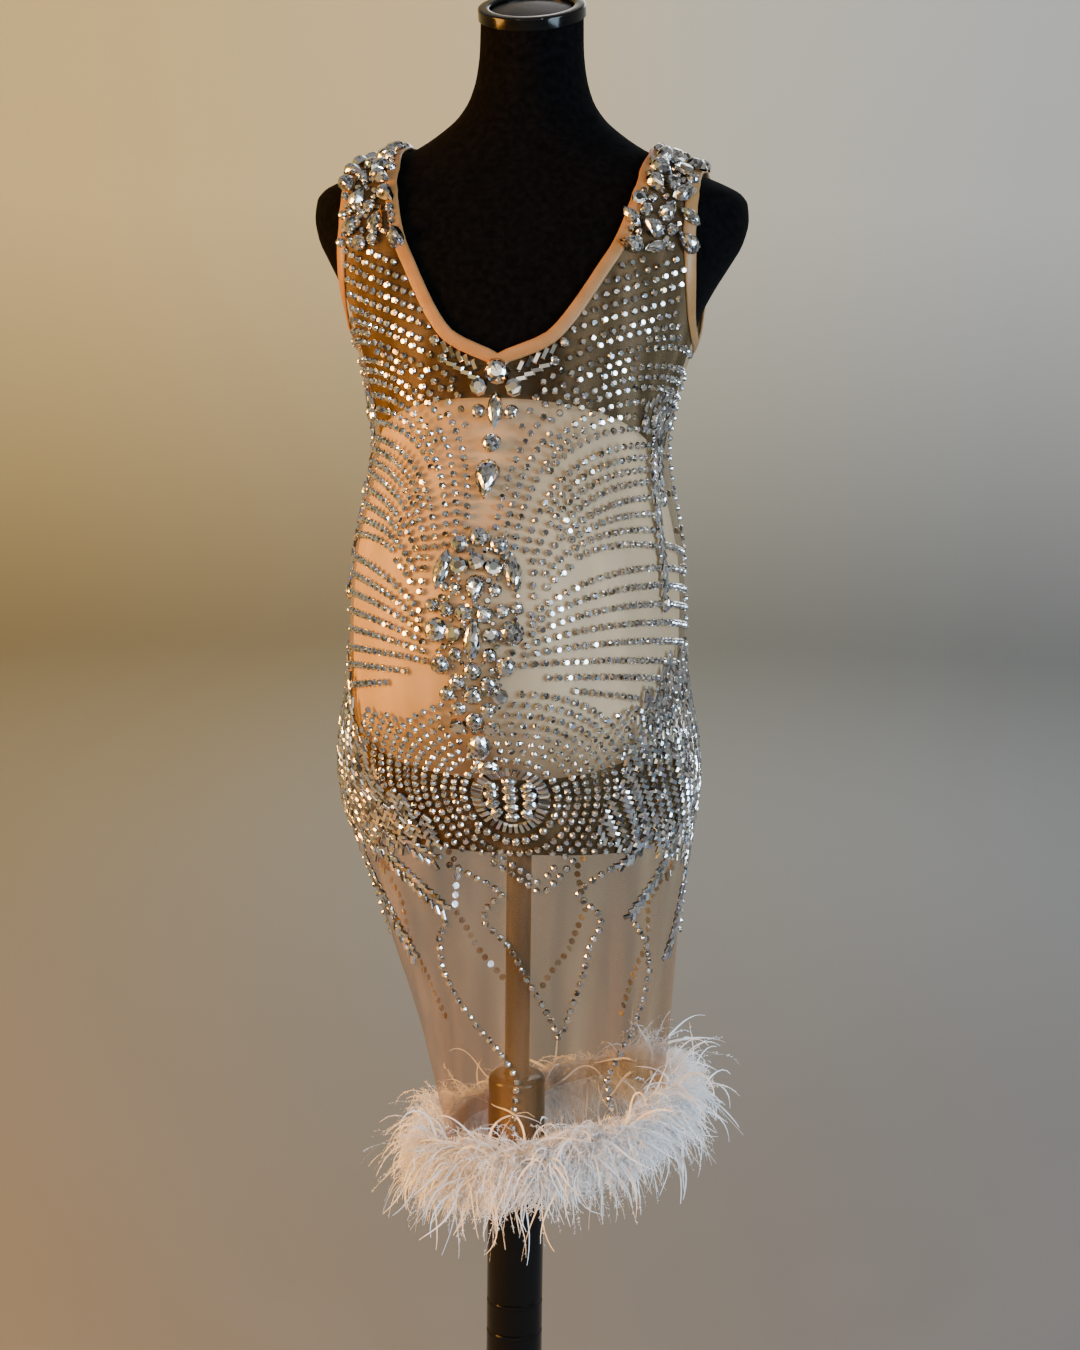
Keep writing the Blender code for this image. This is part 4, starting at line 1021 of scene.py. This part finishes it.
# Baguettes at each side of the V. Columns: the row's bearing and height at its inner and outer
# end, the stones' angle in degrees
WINGS = ((5.2, 1.1495, 15.6, 1.1660, 66), (6.2, 1.1400, 13.6, 1.1515, 12))
WING_STONE = (0.0098, 0.0043, 0.0026)
WING_PITCH = 0.0074
WING_ROUND = (0.0098, 0.0098, 0.0045)
WING_ROUND_STEP = (2.6, 0.004)


def set_wings(stones):
    """Two rows of baguettes along each side of the V, and a round at each row's end."""
    for side in (-1, 1):
        for inner, inner_z, outer, outer_z, lean in WINGS:
            b, z, _ = spaced(*through([(inner, inner_z), (outer, outer_z)], side), WING_PITCH)
            angle = math.radians(lean if side == 1 else 180 - lean)
            stones.add("baguette", b, z, angle, WING_STONE, radius=0.0024)
            stones.add("round", side * (outer + WING_ROUND_STEP[0]), outer_z + WING_ROUND_STEP[1],
                       0.0, WING_ROUND, radius=0.0046)


HERRINGBONE_WIDTH = 0.0064
HERRINGBONE_PITCH = 0.0070
HERRINGBONE_LEAN = 0.62


def herringbone(stones, points, side):
    """Two columns of baguettes that lean towards each other along a line."""
    b, z, angle = spaced(*through(points, side), HERRINGBONE_PITCH)
    for column in (-1, 1):
        right = -np.sin(angle) * column * HERRINGBONE_WIDTH / 2
        up = np.cos(angle) * column * HERRINGBONE_WIDTH / 2
        at_b, at_z = walk(b, z, right, up + 0.25 * HERRINGBONE_PITCH * column, 2)
        stones.add("baguette", at_b, at_z, angle + column * HERRINGBONE_LEAN, BAGUETTE,
                   radius=0.0016, wobble=0.12)


# The dense baguettes of the hips. Columns: degrees round from the front, top, bottom
HIP_SPAN = (
    (26, 0.764, 0.744), (32, 0.782, 0.738), (38, 0.800, 0.736), (44, 0.826, 0.732),
    (52, 0.856, 0.728), (60, 0.880, 0.722), (72, 0.896, 0.716), (90, 0.902, 0.712),
    (108, 0.880, 0.738), (126, 0.850, 0.768),
)
HIP_STEP = 4.7
HIP_COLUMN_TURN = 1.2


def set_hips(stones):
    """Herringbone columns over both hips, their ends a little uneven."""
    places, tops, lows = zip(*HIP_SPAN)
    for side in (-1, 1):
        for k, bearing in enumerate(np.arange(places[0], places[-1], HIP_STEP)):
            top = np.interp(bearing, places, tops) + 0.007 * math.sin(k * 2.1)
            low = np.interp(bearing, places, lows) + 0.008 * math.sin(k * 1.7 + side)
            herringbone(stones, [(bearing, top), (bearing + HIP_COLUMN_TURN, low)], side)


# Strips of baguettes and lines of small stones on the skirt, for the +X side
STRIPS = (
    ((84, 0.745), (78, 0.700), (68, 0.660), (59, 0.622)),
    ((62, 0.742), (50, 0.712), (40, 0.690), (33, 0.674)),
    ((44, 0.748), (36, 0.732), (29, 0.722)),
    ((100, 0.745), (104, 0.705), (112, 0.672)),
    ((124, 0.770), (132, 0.735), (142, 0.712)),
)
LINES = (
    ((27, 0.722), (20, 0.714), (14, 0.704), (12, 0.697), (19, 0.680), (20, 0.668), (15, 0.652),
     (11, 0.620), (0, 0.559)),
    ((33, 0.672), (41, 0.648), (45, 0.618), (42, 0.590), (35, 0.566), (26, 0.545), (20, 0.524),
     (22, 0.500), (24, 0.476)),
    ((90, 0.716), (84, 0.690), (80, 0.660), (78, 0.634)),
    ((18, 0.752), (9, 0.732), (0, 0.708)),
    ((24, 0.762), (12, 0.728), (1, 0.700)),
    ((142, 0.712), (150, 0.690), (157, 0.660), (152, 0.620), (160, 0.575), (172, 0.540)),
    ((112, 0.672), (120, 0.640), (117, 0.600), (126, 0.560), (132, 0.520)),
    ((168, 0.730), (174, 0.700), (180, 0.676)),
)
SIDE_ROWS = (((90, 1.140), (90, 1.040), (91, 0.905)), ((88, 0.722), (84, 0.700)))
CHAINS = (
    ((72, 1.112), (71, 1.080), (70, 1.040), (69, 1.000), (70, 0.962)),
    ((60, 1.112), (66, 1.118), (75, 1.118), (86, 1.108)),
    ((77, 1.100), (76, 1.070), (75, 1.048)),
)
CHAIN_DROPS = ((70, 0.951), (75, 1.037), (60, 1.103), (66, 1.106), (81, 1.100))
DROP = (0.0170, 0.0105, 0.0050)
BACK_FROM = 100
BACK_ROWS = 9


def set_strips(stones):
    """Strips on the skirt, and chains at the sides that end in drops."""
    for side in (-1, 1):
        for bearing, z in CHAIN_DROPS:
            stones.add("drop", side * bearing, z, -math.pi / 2, DROP, radius=0.0050)
        for strip in STRIPS + CHAINS:
            herringbone(stones, strip, side)


def add_small(stones, bearing, z, angle):
    size = (SMALL_STONE, SMALL_STONE, SMALL_STONE * GEM_HEIGHT)
    stones.add("small", bearing, z, angle, size, radius=SMALL_STONE * 0.53, wobble=0.09)


def set_small_rows(front, back):
    """Every line of small round stones, on the front's mesh or the back's."""
    for side in (-1, 1):
        lines = [(front, line) for line in fan_rows(side)]
        for points in LINES:
            lines.append((back if points[0][0] > BACK_FROM else front, through(points, side)))
        lines += [(back, through(points, side)) for points in SIDE_ROWS]
        lines += [(back, line) for line in back_fan(side)]
        for stones, line in lines:
            add_small(stones, *spaced(*line, STONE_PITCH))


def set_medallion_rows(stones):
    """Rows in rings round the medallion. The outer ones stop below the fans' rows."""
    low, high = MEDALLION_REACH
    for ring in MEDALLION_ROWS:
        count = int(2 * math.pi * ring * (1 + MEDALLION_ROW_HEIGHT) / 2 / STONE_PITCH)
        angle = 2 * np.pi * np.arange(count) / count
        up = np.sin(angle) * ring * MEDALLION_ROW_HEIGHT
        angle = angle[(up > low) & ((up < high) | (ring < MEDALLION_WHOLE_ROWS))]
        b, z = walk(np.zeros(len(angle)), np.full(len(angle), MEDALLION[1]),
                    MEDALLION[0] + ring * np.cos(angle),
                    ring * MEDALLION_ROW_HEIGHT * np.sin(angle))
        add_small(stones, b, z, angle)


def back_fan(side):
    """Rows over the upper back, from beside its middle out to the side seams."""
    for k in range(BACK_ROWS):
        share = k / (BACK_ROWS - 1)
        start = (side * (176 - 4 * share), 1.205 - 0.30 * share)
        end = (side * (118 - 20 * share), 1.225 - 0.255 * share)
        yield bent(start, end, 30 if side == -1 else 150, 0.45)


# The straps' clusters, large stones first. Columns: kind, length, width, tries
STRAP_SIZES = (
    ("drop", 0.0225, 0.0175, 70), ("marquise", 0.022, 0.0115, 40), ("flat", 0.013, 0.013, 30),
    ("round", 0.0150, 0.0150, 140), ("round", 0.0120, 0.0120, 240), ("round", 0.0090, 0.0090, 380),
    ("small", 0.0062, 0.0062, 800),
)
STRAPS_FROM = ((True, 0.44), (False, 0.35))
STRAP_STONE_INSET = 0.0050
STRAP_MOST_INSET = 0.42
BINDING_MARGIN = 0.004
BINDING_TOP = 0.0024
CLOTH_TOP = 0.0008


def strap_places(is_front, lowest, count):
    """Random places on a strap from a share of its edge up, and how high stones sit there."""
    neck, armhole = edge_curves(is_front)
    armhole = armhole[len(armhole) - len(neck):]
    chosen = random.uniform(lowest, 1, count) * (len(neck) - 1)
    share = random.uniform(0.0, 1.0, count)
    index = np.arange(len(neck))
    inner, inner_z, outer, outer_z = (np.interp(chosen, index, column)
                                      for column in (*neck.T, *armhole.T))
    width = np.linalg.norm(skin(outer, outer_z) - skin(inner, inner_z), axis=1)
    inset = np.clip(STRAP_STONE_INSET / width, 0, STRAP_MOST_INSET)
    share = inset + (1 - 2 * inset) * share
    bearing, z = mix(inner, outer, share), mix(inner_z, outer_z, share)
    from_edge = np.minimum(share, 1 - share) * width
    lift = np.where(from_edge < BINDING_WIDTH + BINDING_MARGIN, BINDING_TOP, CLOTH_TOP)
    return (bearing if is_front else 180 - bearing), z, lift


def set_straps(stones):
    """Clusters of large stones on the shoulders, large ones first and small in the gaps."""
    for side in (-1, 1):
        for is_front, lowest in STRAPS_FROM:
            for kind, length, width, tries in STRAP_SIZES:
                bearing, z, lift = strap_places(is_front, lowest, tries)
                angle = random.uniform(0, 2 * np.pi, tries)
                stones.add(kind, side * bearing, z, angle, (length, width, width * 0.50),
                           lift=lift, radius=(length + width) * STRAP_ROOM, wobble=0.16)


# Feather trim

# The trim's barbs: a soft dense core, curled ones and a few thick long ones. Columns: how many,
# lengths, widths, lowest rise, steps, curl, droop, hairs on each, longest hair
BARBS = (
    (2300, (0.022, 0.054), (0.0007, 0.0013), -1.3, 5, 0.22, 0.35, 30, 0.0105),
    (260, (0.045, 0.086), (0.0012, 0.0022), -0.9, 9, 0.42, 0.42, 36, 0.0050),
    (150, (0.055, 0.098), (0.0024, 0.0040), -1.0, 14, 0.46, 0.34, 40, 0.0016),
)
QUARTERS = (("front", 0, 0.8), ("right", 90, 0.8), ("back", 180, 0.0), ("left", -90, 0.8))
QUARTER_REACH = 46
TRIM_RISE = 0.008
TRIM_SPREAD = 0.005
ROOT_HEIGHT = 0.003
HAIR_THICKNESS = 0.00042


def barbs(bearing, length, width, rise, steps, curl, droop):
    """Bent ribbons for barbs that leave the hem: their points, and their sideways vectors."""
    z = hem_height(bearing, np.full_like(bearing, HEM)) + TRIM_RISE
    z = z + random.normal(0, TRIM_SPREAD, len(bearing))
    points = on_cloth(bearing, z, ROOT_HEIGHT)
    across, up, out = frames(bearing, z)
    swing = random.normal(0, 0.75, (len(bearing), 1))
    heading = unit(out * random.uniform(0.45, 1.0, (len(bearing), 1)) + up * rise[:, None]
                   + across * swing)
    swirl = unit(random.normal(0, 1, (len(bearing), 3)))
    bend = random.uniform(0.6, 1.6, (len(bearing), 1)) * np.pi / steps
    line = [points]
    step = (length / steps)[:, None]
    for k in range(steps):
        line.append(line[-1] + heading * step)
        turn = np.cross(swirl, heading) * curl[:, None] * np.cos(bend * k)
        heading = unit(heading + turn + np.array((0, 0, -1.0)) * droop[:, None] * (k + 1) / steps)
    line = np.stack(line, axis=1)
    side = unit(np.cross(np.gradient(line, axis=1), swirl[:, None, :] + 0.01))
    taper = 1 - 0.85 * np.linspace(0, 1, steps + 1) ** 1.4
    return line, side * (width[:, None] * taper)[..., None] / 2


def ribbon_mesh(line, side):
    """Flat tapered strips along each line."""
    count, points, _ = line.shape
    verts = np.stack([line - side, line + side], axis=2).reshape(-1, 3)
    first = (np.arange(count) * points * 2)[:, None, None]
    k = (np.arange(points - 1) * 2)[None, :, None]
    quads = first + k + np.array((0, 1, 3, 2))[None, None]
    return verts, quads.reshape(-1, 4)


def down_mesh(line, hairs, longest):
    """Fine hairs that stand off each barb, one thin triangle each."""
    count, points, _ = line.shape
    at = random.uniform(0.02, 0.98, (count, hairs)) * (points - 1)
    low = np.minimum(at.astype(int), points - 2)
    part = (at - low)[..., None]
    rows = np.arange(count)[:, None]
    a, b = line[rows, low], line[rows, low + 1]
    root = mix(a, b, part)
    along = unit(b - a)
    aside = unit(np.cross(along, random.normal(0, 1, root.shape)))
    shorter = 1 - 0.55 * at[..., None] / (points - 1)
    reach = longest * random.uniform(0.45, 1.0, (count, hairs, 1)) * shorter
    tip = root + (aside * 0.9 + along * 0.55) * reach
    base = along * HAIR_THICKNESS
    verts = np.stack([root - base, root + base, tip], axis=2).reshape(-1, 3)
    return verts, np.arange(len(verts)).reshape(-1, 3)


def feather_quarter(name, middle, highest, material):
    """A quarter of the trim; highest is how steeply its barbs may rise."""
    verts, faces, total = [], [], 0
    for count, length, width, lowest, steps, curl, droop, hairs, longest in BARBS:
        bearing = middle + random.uniform(-QUARTER_REACH, QUARTER_REACH, count)
        line, side = barbs(bearing, random.uniform(*length, count), random.uniform(*width, count),
                           random.uniform(lowest, highest, count), steps,
                           random.uniform(0.3, 1, count) * curl,
                           random.uniform(0.5, 1.2, count) * droop)
        for made, shapes in (ribbon_mesh(line, side), down_mesh(line, hairs, longest)):
            verts.append(made)
            faces += (shapes + total).tolist()
            total += len(made)
    return piece("feathers_" + name, np.concatenate(verts), faces, material,
                 ("feather_trim",))


# The form

def form_clearance(z):
    span = SHOULDER_CLEARANCE_FULL - SHOULDER_CLEARANCE_FROM
    share = np.clip((z - SHOULDER_CLEARANCE_FROM) / span, 0, 1)
    return mix(CLOTH_CLEARANCE, SHOULDER_CLEARANCE, share)


def form_surface(bearing, z):
    """The form's own surface, with its neck's top tilted."""
    points = torso_surface(bearing, z)
    points = points - outward(torso_surface, bearing, z) * form_clearance(z)[..., None]
    share = np.clip((z - NECK_TILT_FROM) / (NECK_TOP - NECK_TILT_FROM), 0, None)
    points[..., 2] += share * (points[..., 1] - NECK_MIDDLE) * math.tan(NECK_TILT)
    return points


def build_form(material, sides=128):
    """Rounded sections from the underside to the neck, closed at both ends."""
    rows = [row[0] for row in TORSO_TABLE]
    heights = np.concatenate([np.linspace(a, b, 4)[:-1] for a, b in zip(rows, rows[1:])]
                             + [rows[-1:]])
    bearing, z = np.meshgrid(360 * np.arange(sides) / sides, heights)
    points = form_surface(bearing, z)
    points[0, :, 2] = TORSO_BOTTOM
    underside = points[0].mean(0) + (points[0] - points[0].mean(0)) * 0.5
    verts = np.concatenate([underside[None], points]).reshape(-1, 3)
    rings = len(heights) + 1
    faces = ring_faces(rings, sides) + end_faces(rings, sides)
    made = piece("torso", verts, faces, material, ("torso",))
    made.data.set_sharp_from_angle(angle=math.radians(50))


def pad_place(ring, angle):
    c, s = np.cos(angle), np.sin(angle)
    rounded = 2 / PAD_ROUNDNESS
    bearing = PAD_REACH * ring * np.sign(c) * np.abs(c) ** rounded
    rise = np.where(s > 0, PAD_UP, PAD_DOWN)
    return bearing, PAD_MIDDLE + rise * ring * np.sign(s) * np.abs(s) ** rounded


def pad_point(ring, angle, is_outer):
    """The inside lies on the form; the outside swells to just under the cloth."""
    bearing, z = pad_place(ring, angle)
    away = outward(torso_surface, bearing, z)
    rim = form_surface(bearing, z) + away * PAD_FLOOR
    if not is_outer:
        return rim + away * (PAD_INSIDE_CROWN * (1 - ring ** 6))[..., None]
    cover_bearing = bearing - SKIRT_CURVES["turn"](z)
    cover = skin(cover_bearing, z) - outward(skin, cover_bearing, z) * PAD_CLEARANCE
    swell = np.sqrt(np.clip(1 - ring ** 8, 0, 1))[..., None]
    tuck = pad_tuck(bearing, z)[..., None] * swell
    return (rim + away * PAD_RIM) * (1 - swell) + (cover - away * tuck) * swell


def pad_tuck(bearing, z):
    total = 0 * z
    for centre, height, slope, depth in PAD_PULLS:
        line = z - height - slope * (bearing - centre)
        along = np.exp(-((bearing - centre) / PAD_PULL_WIDTH) ** 2)
        total = total + depth * along * np.exp(-(line / PAD_PULL_HEIGHT) ** 2)
    return total


def build_pad(material, sides=110):
    """The filled pad over the front of the form, outside and inside joined at the rim."""
    rings = np.concatenate([np.sqrt(np.linspace(1, 0.35 ** 2, 26)), np.linspace(0.33, 0.03, 14)])
    angles = 2 * np.pi * np.arange(sides) / sides
    ring, angle = np.meshgrid(rings, angles, indexing="ij")
    outer = pad_point(ring, angle, True)
    inner = pad_point(ring, angle, False)
    verts = np.concatenate([outer[::-1], inner]).reshape(-1, 3)
    faces = ring_faces(2 * len(rings), sides) + end_faces(2 * len(rings), sides)
    made = piece("belly_pad", verts, faces, material, ("belly_pad",))
    made.data.set_sharp_from_angle(angle=math.radians(60))
    return made


def arc(centre, radius, start, end, count=6):
    """Points of a round edge: (radius, height) pairs about a centre."""
    angles = [math.radians(start + (end - start) * k / (count - 1)) for k in range(count)]
    return [(centre[0] + radius * math.cos(a), centre[1] + radius * math.sin(a)) for a in angles]


def build_stand(gloss, satin):
    """Pole, grooved lower tube and round foot, in the CAD's own sizes."""
    turned("pole", [(POLE_RADIUS, corner.z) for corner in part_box("pole")[:2]], satin,
           "pole")
    profile = [(TUBE_RADIUS, BASE_THICKNESS + SEAM)]
    for k in reversed(range(GROOVE_COUNT)):
        z = GROOVE_TOP - k * GROOVE_PITCH
        profile += [(TUBE_RADIUS - depth, z + rise) for depth, rise in GROOVE]
    profile += arc((TUBE_RADIUS - TUBE_SHOULDER, TUBE_TOP - TUBE_SHOULDER), TUBE_SHOULDER, 0, 90, 8)
    bore = POLE_RADIUS + BORE_GAP
    profile += [(bore + 0.001, TUBE_TOP), (bore, TUBE_TOP - 0.001), (bore, TUBE_FLOOR)]
    turned("lower_tube", profile, gloss, "stand")
    profile = arc((BASE_RADIUS - 0.0035, 0.0035), 0.0035, -90, 0)
    profile += arc((BASE_RADIUS - 0.004, 0.008), 0.004, 0, 80)
    profile += [*BASE_TOP, *((radius, BASE_THICKNESS) for radius in BASE_COLLAR)]
    turned("base", profile, satin, "stand", sides=160)


def build_neck_end(gloss, satin):
    """The glossy ring on the tilted neck, with the plain cap sunk in it."""
    place = Matrix.Translation((0, NECK_MIDDLE, NECK_TOP)) @ Matrix.Rotation(NECK_TILT, 4, "X")
    inner, foot, lip = CAP_RADIUS + SEAM, SEAM, 0.0018
    top = foot + RING_HEIGHT
    profile = [(inner, foot), (RING_RADIUS, foot)]
    profile += arc((RING_RADIUS - lip, top - lip), lip, 0, 90)
    profile += arc((inner + lip, top - lip), lip, 90, 180)
    turned("neck_ring", profile + [(inner, foot)], gloss, "form", place=place)
    cap = [(CAP_RADIUS - SEAM, foot), (CAP_RADIUS - SEAM, 0.0050)]
    cap += arc((CAP_RADIUS - 0.0023, 0.0050), 0.0020, 0, 80)
    cap += [(0.024, 0.0078), (0.012, 0.0085), (0.004, 0.0087)]
    turned("neck_cap", cap, satin, "form", place=place)


STITCH_FACES = ((0, 1, 2, 3), (7, 6, 5, 4), (0, 4, 5, 1), (1, 5, 6, 2), (2, 6, 7, 3), (3, 7, 4, 0))
STITCH_LENGTH = 0.00095
STITCH_WIDTH = 0.00022
STITCH_LAYERS = ((0, 1.0), (0.0003, 0.7))


def build_stitches(lines, material):
    """Short raised stitches along each binding."""
    verts, faces = [], []
    for corners in lines:
        b, z, angle = spaced(corners[:, 0], corners[:, 1], STITCH_PITCH, closed=True)
        across, up, out = frames(b, z)
        along = across * np.cos(angle)[:, None] + up * np.sin(angle)[:, None]
        beside = np.cross(out, along)
        centre = skin(b, z) + out * STITCH_LIFT
        for p, a, s, o in zip(centre, along, beside, out):
            first = len(verts)
            for height, shrink in STITCH_LAYERS:
                for x, y in ((-1, -1), (1, -1), (1, 1), (-1, 1)):
                    verts.append(p + a * x * STITCH_LENGTH * shrink
                                 + s * y * STITCH_WIDTH * shrink + o * height)
            faces += [tuple(first + i for i in face) for face in STITCH_FACES]
    return piece("binding_stitches", verts, faces, material)


# Stage

STAGE_RADIUS = 6.5
STAGE_BEND = 1.6
STAGE_HEIGHT = 6.0
STAGE_SIDES = 96
# Where the painted warm and cool light on the paper is strongest, as shares of the stage's radius,
# and how far the painted shade dims the floor
WARM_FROM = -0.42
COOL_FROM = 0.10
PAINTED_FLOOR_SHADE = 0.32
PAINTED_SHADE_TOP = 1.4
# Colours of the paper that carry painted light: warm orange at -X turning to cool blue grey at +X.
PAINTED_LIGHT_TINTS = [(0.0, (0.88, 0.66, 0.30)), (0.38, (0.80, 0.66, 0.40)), (0.66, (0.62, 0.65, 0.60)),
               (1.0, (0.50, 0.58, 0.66))]


def build_stage():
    """A pale floor that rounds up into a wall all the way round."""
    profile = [(0.001, 0), (3.0, 0)]
    profile += arc((STAGE_RADIUS - STAGE_BEND, STAGE_BEND), STAGE_BEND, -90, 0, 12)
    profile += [(STAGE_RADIUS, STAGE_HEIGHT)]
    faces = [face[::-1] for face in ring_faces(len(profile), STAGE_SIDES)]
    mesh = bpy.data.meshes.new("studio_floor")
    mesh.from_pydata(spin(profile, STAGE_SIDES), [], faces)
    mesh.shade_smooth()
    look = principled("studio_paper", (0.60, 0.56, 0.50), 0.9)
    # Painted warm and cool light across the paper, and painted shade low on the floor and the
    # wall's foot.
    paint_light_across(look)
    mesh.materials.append(look)
    linked("studio_floor", mesh)


def paint_light_across(look):
    """Painted light on the paper: warm at -X turning to cool grey at +X, with painted shade that
    dims the floor and the wall's foot.
    """
    link = look.node_tree.links.new
    place, parts = add_node(look, "TexCoord"), add_node(look, "SeparateXYZ")
    # Painted warm and cool light: the paper's colour runs along X from warm to cool.
    spread = add_node(look, "MapRange", From_Min=WARM_FROM * STAGE_RADIUS,
                      From_Max=COOL_FROM * STAGE_RADIUS)
    # Painted shade: the colour is dimmed most on the floor and less up the wall's foot.
    rise = add_node(look, "MapRange", From_Max=PAINTED_SHADE_TOP, To_Min=PAINTED_FLOOR_SHADE)
    darker = add_node(look, "VectorMath")
    darker.operation = "SCALE"
    link(place.outputs["Object"], parts.inputs["Vector"])
    link(parts.outputs["X"], spread.inputs["Value"])
    link(parts.outputs["Z"], rise.inputs["Value"])
    tint = ramp(look, spread.outputs["Result"], PAINTED_LIGHT_TINTS)
    link(tint.outputs["Color"], darker.inputs[0])
    link(rise.outputs["Result"], darker.inputs["Scale"])
    link(darker.outputs["Vector"], shader_of(look).inputs["Base Color"])


def add_light(name, place, target, size, power, colour):
    data = bpy.data.lights.new(name, "AREA")
    data.shape = "RECTANGLE"
    data.size, data.size_y = size
    data.energy = power
    data.color = colour
    made = linked(name, data)
    made.location = place
    made.rotation_euler = (Vector(target) - Vector(place)).to_track_quat("-Z", "Y").to_euler()


# Columns: name, place, size, power, colour
LIGHTS = (
    ("warm_left", (-2.1, -1.0, 1.25), (0.9, 1.3), 138, (1.0, 0.42, 0.06)),
    ("cool_right", (2.2, -1.3, 1.2), (1.1, 1.6), 76, (0.60, 0.80, 1.0)),
    ("front_fill", (0.3, -3.4, 2.0), (1.8, 1.2), 8, (1.0, 0.90, 0.76)),
    ("back_fill", (0.4, 3.0, 2.6), (2.0, 1.4), 24, (0.95, 0.96, 1.0)),
    ("spark_left", (-0.9, -2.6, 2.3), (0.14, 0.14), 10, (1.0, 0.88, 0.7)),
    ("spark_right", (1.3, -2.4, 2.0), (0.14, 0.14), 10, (0.85, 0.93, 1.0)),
)
LIGHT_TARGET = (0, 0, 0.95)
# Lights that shine on the wall all round. Columns: name, bearing, power
WALL_LIGHT_OUT = 2.2
WALL_LIGHT_HEIGHT = 3.3
WALL_LIGHT_TARGET = 0.5
WALL_LIGHT_SIZE = (3.0, 0.8)
WALL_LIGHT_COLOUR = (1.0, 0.96, 0.88)
WALL_LIGHTS = (("back", 180, 125), ("front", 0, 60), ("left", -90, 60), ("right", 90, 50))


def build_lights():
    """Warm light from the left, cool daylight from the right, weak fills and small sparks."""
    for name, place, size, power, colour in LIGHTS:
        add_light(name, place, LIGHT_TARGET, size, power, colour)
    for name, bearing, power in WALL_LIGHTS:
        across, away = math.sin(math.radians(bearing)), -math.cos(math.radians(bearing))
        place = (WALL_LIGHT_OUT * across, WALL_LIGHT_OUT * away, WALL_LIGHT_HEIGHT)
        target = (STAGE_RADIUS * across, STAGE_RADIUS * away, WALL_LIGHT_TARGET)
        add_light("wall_light_" + name, place, target, WALL_LIGHT_SIZE, power, WALL_LIGHT_COLOUR)
    world = bpy.data.worlds.new("studio_air")
    world.use_nodes = True
    shade = world.node_tree.nodes["Background"]
    shade.inputs["Color"].default_value = (0.80, 0.79, 0.78, 1.0)
    shade.inputs["Strength"].default_value = 0.32
    bpy.context.scene.world = world


# The photograph's view, fitted to the neck's, hips' and trim's round edges
CAMERA_DISTANCE = 1.912
CAMERA_HEIGHT = 1.250
CAMERA_AZIMUTH = math.radians(10.5)
CAMERA_PITCH = math.radians(11.3)
CAMERA_ROLL = math.radians(0.7)
CAMERA_ASIDE = math.radians(0.51)
CAMERA_LENS = 57.68


def build_camera():
    data = bpy.data.cameras.new("camera")
    data.lens = CAMERA_LENS
    data.sensor_width = 36.0
    made = linked("camera", data)
    made.location = (CAMERA_DISTANCE * math.sin(CAMERA_AZIMUTH),
                     -CAMERA_DISTANCE * math.cos(CAMERA_AZIMUTH), CAMERA_HEIGHT)
    turn = Matrix.Rotation(CAMERA_AZIMUTH - CAMERA_ASIDE, 4, "Z")
    tip = Matrix.Rotation(math.pi / 2 - CAMERA_PITCH, 4, "X")
    made.rotation_euler = (turn @ tip @ Matrix.Rotation(CAMERA_ROLL, 4, "Z")).to_euler()
    bpy.context.scene.camera = made


def build_dress():
    """Panels, bindings, stitches, stones and trim."""
    cloth = mesh_cloth()
    panels = {name: build_panel(name, name == "dress_front", cloth)
              for name in ("dress_front", "dress_back")}
    satin = satin_binding()
    bindings, stitch_lines = {}, []
    loops = {"neck_binding": (neck_corners(), -1),
             "armhole_binding_right": (armhole_corners(1), 1),
             "armhole_binding_left": (armhole_corners(-1), -1)}
    for name, (corners, side) in loops.items():
        bindings[name], line = build_binding(name, corners, side, satin)
        stitch_lines.append(line)
    stitches = build_stitches(stitch_lines, thread_look())

    sparkle = crystal_look()
    large, baguettes, small, small_back = Stones(), Stones(), Stones(), Stones()
    set_straps(large)
    set_centre(large)
    set_fillers(large)
    set_wings(baguettes)
    set_strips(baguettes)
    set_hips(baguettes)
    set_medallion_rows(small)
    set_small_rows(small, small_back)
    stones = [large.build("large_stones", sparkle), baguettes.build("baguettes", sparkle),
              small.build("small_stones_front", sparkle),
              small_back.build("small_stones_back", sparkle)]
    down = feather_look()
    feathers = [feather_quarter(*quarter, down) for quarter in QUARTERS]


build_camera()
build_stage()
build_lights()
gloss, satin_paint = gloss_look(), satin_look()
build_stand(gloss, satin_paint)
build_neck_end(gloss, satin_paint)
build_form(form_look())
build_pad(pad_look())
build_dress()
